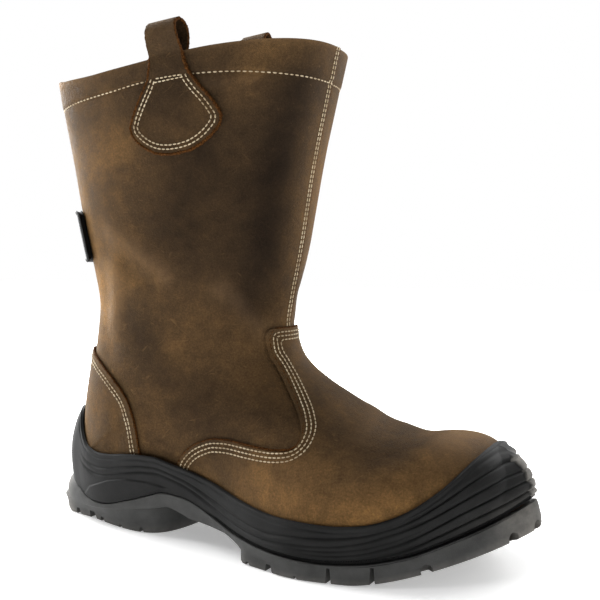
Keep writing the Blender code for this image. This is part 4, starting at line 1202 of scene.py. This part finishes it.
def row_beside(path, distance):
    """Line on the skin at a distance to the left of a path, seen from outside, without turns that cross."""
    path, normals = on_skin(path)
    tangents = unit(np.gradient(path, axis=0))
    beside = on_skin(path + np.cross(normals, tangents) * distance)[0]
    beside = beside[[np.linalg.norm(path - point, axis=1).min() > abs(distance) - 0.25 for point in beside]]
    even_out(beside, 3)
    return beside


def sew(name, rows, lift, pitch=STITCH_PITCH, keep=lambda point: True):
    """Stitches along some rows, lifted off the skin by the layers that they go through."""
    cloth = bmesh.new()
    for path in rows:
        run = run_of(path)
        at = np.arange(pitch / 2, run[-1], pitch)
        centres, normals = on_skin(along(path, run, at))
        for centre, ahead, normal in zip(centres, along(path, run, at + STITCH_AHEAD), normals):
            if not keep(centre):
                continue
            heading = ahead - centre
            heading = unit(heading - normal * (heading @ normal))
            spot = place(centre + normal * (lift + THREAD_RISE))
            axes = np.column_stack([heading, np.cross(normal, heading), normal, spot])
            copy = bead.data.copy()
            copy.transform(Matrix([*axes.tolist(), (0, 0, 0, 1)]))
            cloth.from_mesh(copy)
            bpy.data.meshes.remove(copy)
    mesh = bpy.data.meshes.new(name)
    cloth.to_mesh(mesh)
    cloth.free()
    item = bpy.data.objects.new(name, mesh)
    bpy.context.collection.objects.link(item)
    mesh.materials.append(thread)
    mesh.shade_smooth()
    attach(item, "root")


def above_cup(point):
    """Whether a stitch shows above the edge of the cup."""
    return point[2] > cup_top_z(point[0]) + 1.2


def side_path(line, sign):
    """Line of the side view laid on one side of the skin."""
    points = [meet((x, 0, z), (0, sign, 0)) for x, z in line]
    return np.array([met[0] for met in points if met is not None])


def where_line(axis_x, z, direction, line_z, rounds):
    """Point of the skin, in a direction from an upright axis, that lies on a line given in side view."""
    for _ in range(rounds):
        point = meet((axis_x, 0, z), direction)[0]
        z = line_z(point[0])
    return point


def clear_of_loops(point):
    """Whether the hem is not covered by a strap there."""
    return all(sign * point[1] < 0 or abs(point[0] - middle) > STRAP_CLEAR for sign, middle, _ in LOOPS)


hem_path = np.array([where_line(LEG_AXIS_X, HEM_NEAR_Z, (np.cos(angle), np.sin(angle), 0), hem_z, 3)
                     for angle in np.linspace(0, 2 * np.pi, 240)])
sew("hem_stitches", [hem_path], 0.0, HEM_PITCH, clear_of_loops)

lap_column = int(np.flatnonzero(np.isclose(SHARES, LAP_EDGE))[0])
beside_lap = skin[STATIONS > LAP_SEWN_FROM][:, lap_column::-1]
lap_places = [along(across, run_of(across), LAP_ROWS) for across in beside_lap]
sew("front_stitches", np.swapaxes(lap_places, 0, 1), 0.0, keep=lambda point: point[2] > LAP_LOW_Z)
on_lap = STATIONS > LAP_CUT_FROM
lap_normals = skin_normals[on_lap, lap_column]
frayed_edge("front_lap_edge", [(skin[on_lap, lap_column] - lap_normals * 0.5, lap_normals)], LAP_FRAY)


def cut_edge(path, lift):
    """Line through the middle of a layer's cut edge, with its normals, above the cup."""
    path, normals = on_skin(path)
    shown = [point[2] > cup_top_z(point[0]) - 1 for point in path]
    return path[shown] + normals[shown] * lift, normals[shown]


vamp_runs, vamp_edges = [], []
for sign in (-1, 1):
    corner = side_path(vamp_line[:1], sign)[0]
    throat = [meet((THROAT_X, y, THROAT_Z), (1, 0, 0))[0] for y in np.linspace(0, corner[1], 8)[:-1]]
    path = np.vstack([throat, side_path(vamp_line, sign)])
    vamp_runs += [row_beside(path, -sign * distance) for distance in VAMP_ROWS]
    vamp_edges.append(cut_edge(path, GAP + OVERLAY / 2))
sew("vamp_stitches", vamp_runs, GAP + OVERLAY, keep=above_cup)
frayed_edge("vamp_edge", vamp_edges, OVERLAY_FRAY)

counter_runs, counter_edges = [], []
counter_edge_z = smooth(COUNTER_EDGE["x"], COUNTER_EDGE["z"])
for sign in (-1, 1):
    headings = [(-np.cos(angle), sign * np.sin(angle), 0) for angle in np.radians(np.linspace(0, 70, 30))]
    back = np.array([where_line(COUNTER_AXIS_X, COUNTER_NEAR_Z, heading, counter_edge_z, 4)
                     for heading in headings])
    path = np.vstack([back, side_path(counter_line[counter_line[:, 0] > back[-1, 0] + 1], sign)])
    counter_runs += [row_beside(path, sign * distance) for distance in COUNTER_ROWS]
    counter_edges.append(cut_edge(path, GAP + OVERLAY / 2))
sew("counter_stitches", counter_runs, GAP + OVERLAY, keep=above_cup)
frayed_edge("counter_edge", counter_edges, OVERLAY_FRAY)


def spade_path(sign, middle, inset):
    """Line inside the edge of a spade patch, from the strap down and round and up again."""
    below = np.append(np.linspace(11.5, 50, 60), np.linspace(50.5, 54.9, 24))
    edge = np.column_stack([spade_half(below), below])
    outline = np.vstack([edge * (-1, 1), edge[::-1]])
    heading = unit(np.gradient(outline, axis=0))
    inner = outline + np.column_stack([heading[:, 1], -heading[:, 0]]) * inset
    inner = inner[(inner[:, 1] <= SPADE_DEEP - inset + 0.4) & (inner[:, 1] > 10)]
    points = []
    for across, down in inner:
        x = middle + across + SPADE_LEAN * down
        z = collar_z(x) - down
        points.append((x, sign * side_y(x, z, sign), z))
    return np.array(points)


for name, (sign, middle, _) in zip(("spade_stitches_lateral", "spade_stitches_medial"), LOOPS):
    runs = [spade_path(sign, middle, inset) for inset in SPADE_ROWS]
    for down in SPADE_CROSS_ROWS:
        half = spade_half(down) - SPADE_CROSS_INSET
        centre = middle + SPADE_LEAN * down
        line = [(x, collar_z(x) - down) for x in np.linspace(centre - half, centre + half, 12)]
        runs.append(side_path(line, sign))
    sew(name, runs, GAP + LOOP_LEATHER)
bpy.data.objects.remove(bead, do_unlink=True)


# Floor, light and camera: a white table that glows less under the boot, soft boxes behind to the left and
# right, a weak fill in front and one above, and the camera at about knee height off the outer front side.
CAMERA_TURN, CAMERA_FAR, CAMERA_HIGH, CAMERA_ABOUT_X = 28.57, 548.9, 168.3, 150
CAMERA_YAW, CAMERA_PITCH, CAMERA_ROLL, CAMERA_LENS = -1.24, -2.74, 0.19, 55.12
SOFT_BOXES = (
    ("box_left_back", (-1.25, 0.30, 0.75), 1.1, 62), ("box_right_back", (0.55, 1.35, 0.9), 1.1, 23),
    ("box_front", (0.75, -1.15, 1.1), 1.4, 2.5), ("box_top", (0.0, 0.1, 1.7), 1.3, 11),
)
LIGHT_AIM = Vector((0, 0, 0.14))

bpy.ops.object.select_all(action="DESELECT")
bpy.ops.mesh.primitive_plane_add(size=8)
floor = bpy.context.object
floor.name = "table_top"
white, tree, paper = new_material("white_table")
where = add(tree, "TexCoord", {}).outputs["Object"]
far = add(tree, "VectorMath", {0: where, 1: (-0.07, 0.03, 0.0)}, operation="DISTANCE").outputs["Value"]
fill(tree, paper, {
    "Base Color": (0.9, 0.9, 0.9, 1), "Roughness": 0.8, "Emission Color": (1, 1, 1, 1),
    "Emission Strength": rescale(tree, far, 0.13, 0.7, 0.34, 1.0)})
floor.data.materials.append(white)

for name, location, size, power in SOFT_BOXES:
    light = bpy.data.lights.new(name, "AREA")
    light.size, light.energy = size, power
    box = bpy.data.objects.new(name, light)
    box.location = location
    box.rotation_euler = (LIGHT_AIM - box.location).to_track_quat("-Z", "Y").to_euler()
    bpy.context.collection.objects.link(box)

scene = bpy.context.scene
scene.world = bpy.data.worlds.new("white_room")
scene.world.use_nodes = True
room = scene.world.node_tree
seen = add(room, "LightPath", {}).outputs["Is Camera Ray"]
fill(room, room.nodes["Background"], {
    "Color": (1, 1, 1, 1), "Strength": rescale(room, seen, 0.0, 1.0, 0.12, 1.0)})
scene.view_settings.view_transform = "Standard"

turn, heading = np.radians(CAMERA_TURN), np.radians(CAMERA_TURN + CAMERA_YAW)
pitch, roll = np.radians(CAMERA_PITCH), np.radians(CAMERA_ROLL)
spot = np.array((CAMERA_ABOUT_X + CAMERA_FAR * np.sin(turn), -CAMERA_FAR * np.cos(turn), CAMERA_HIGH))
ahead = np.array((-np.sin(heading) * np.cos(pitch), np.cos(heading) * np.cos(pitch), np.sin(pitch)))
right = np.array((np.cos(heading), np.sin(heading), 0.0))
upward = np.cross(right, ahead)
across = np.cos(roll) * right + np.sin(roll) * upward
upward = np.cos(roll) * upward - np.sin(roll) * right
lens = bpy.data.cameras.new("camera")
lens.lens, lens.sensor_width, lens.sensor_fit = CAMERA_LENS, 36.0, "HORIZONTAL"
camera = bpy.data.objects.new("camera", lens)
bpy.context.collection.objects.link(camera)
view = [(across[k], upward[k], -ahead[k], place(spot)[k]) for k in range(3)]
camera.matrix_world = Matrix(view + [(0, 0, 0, 1)])
scene.camera = camera
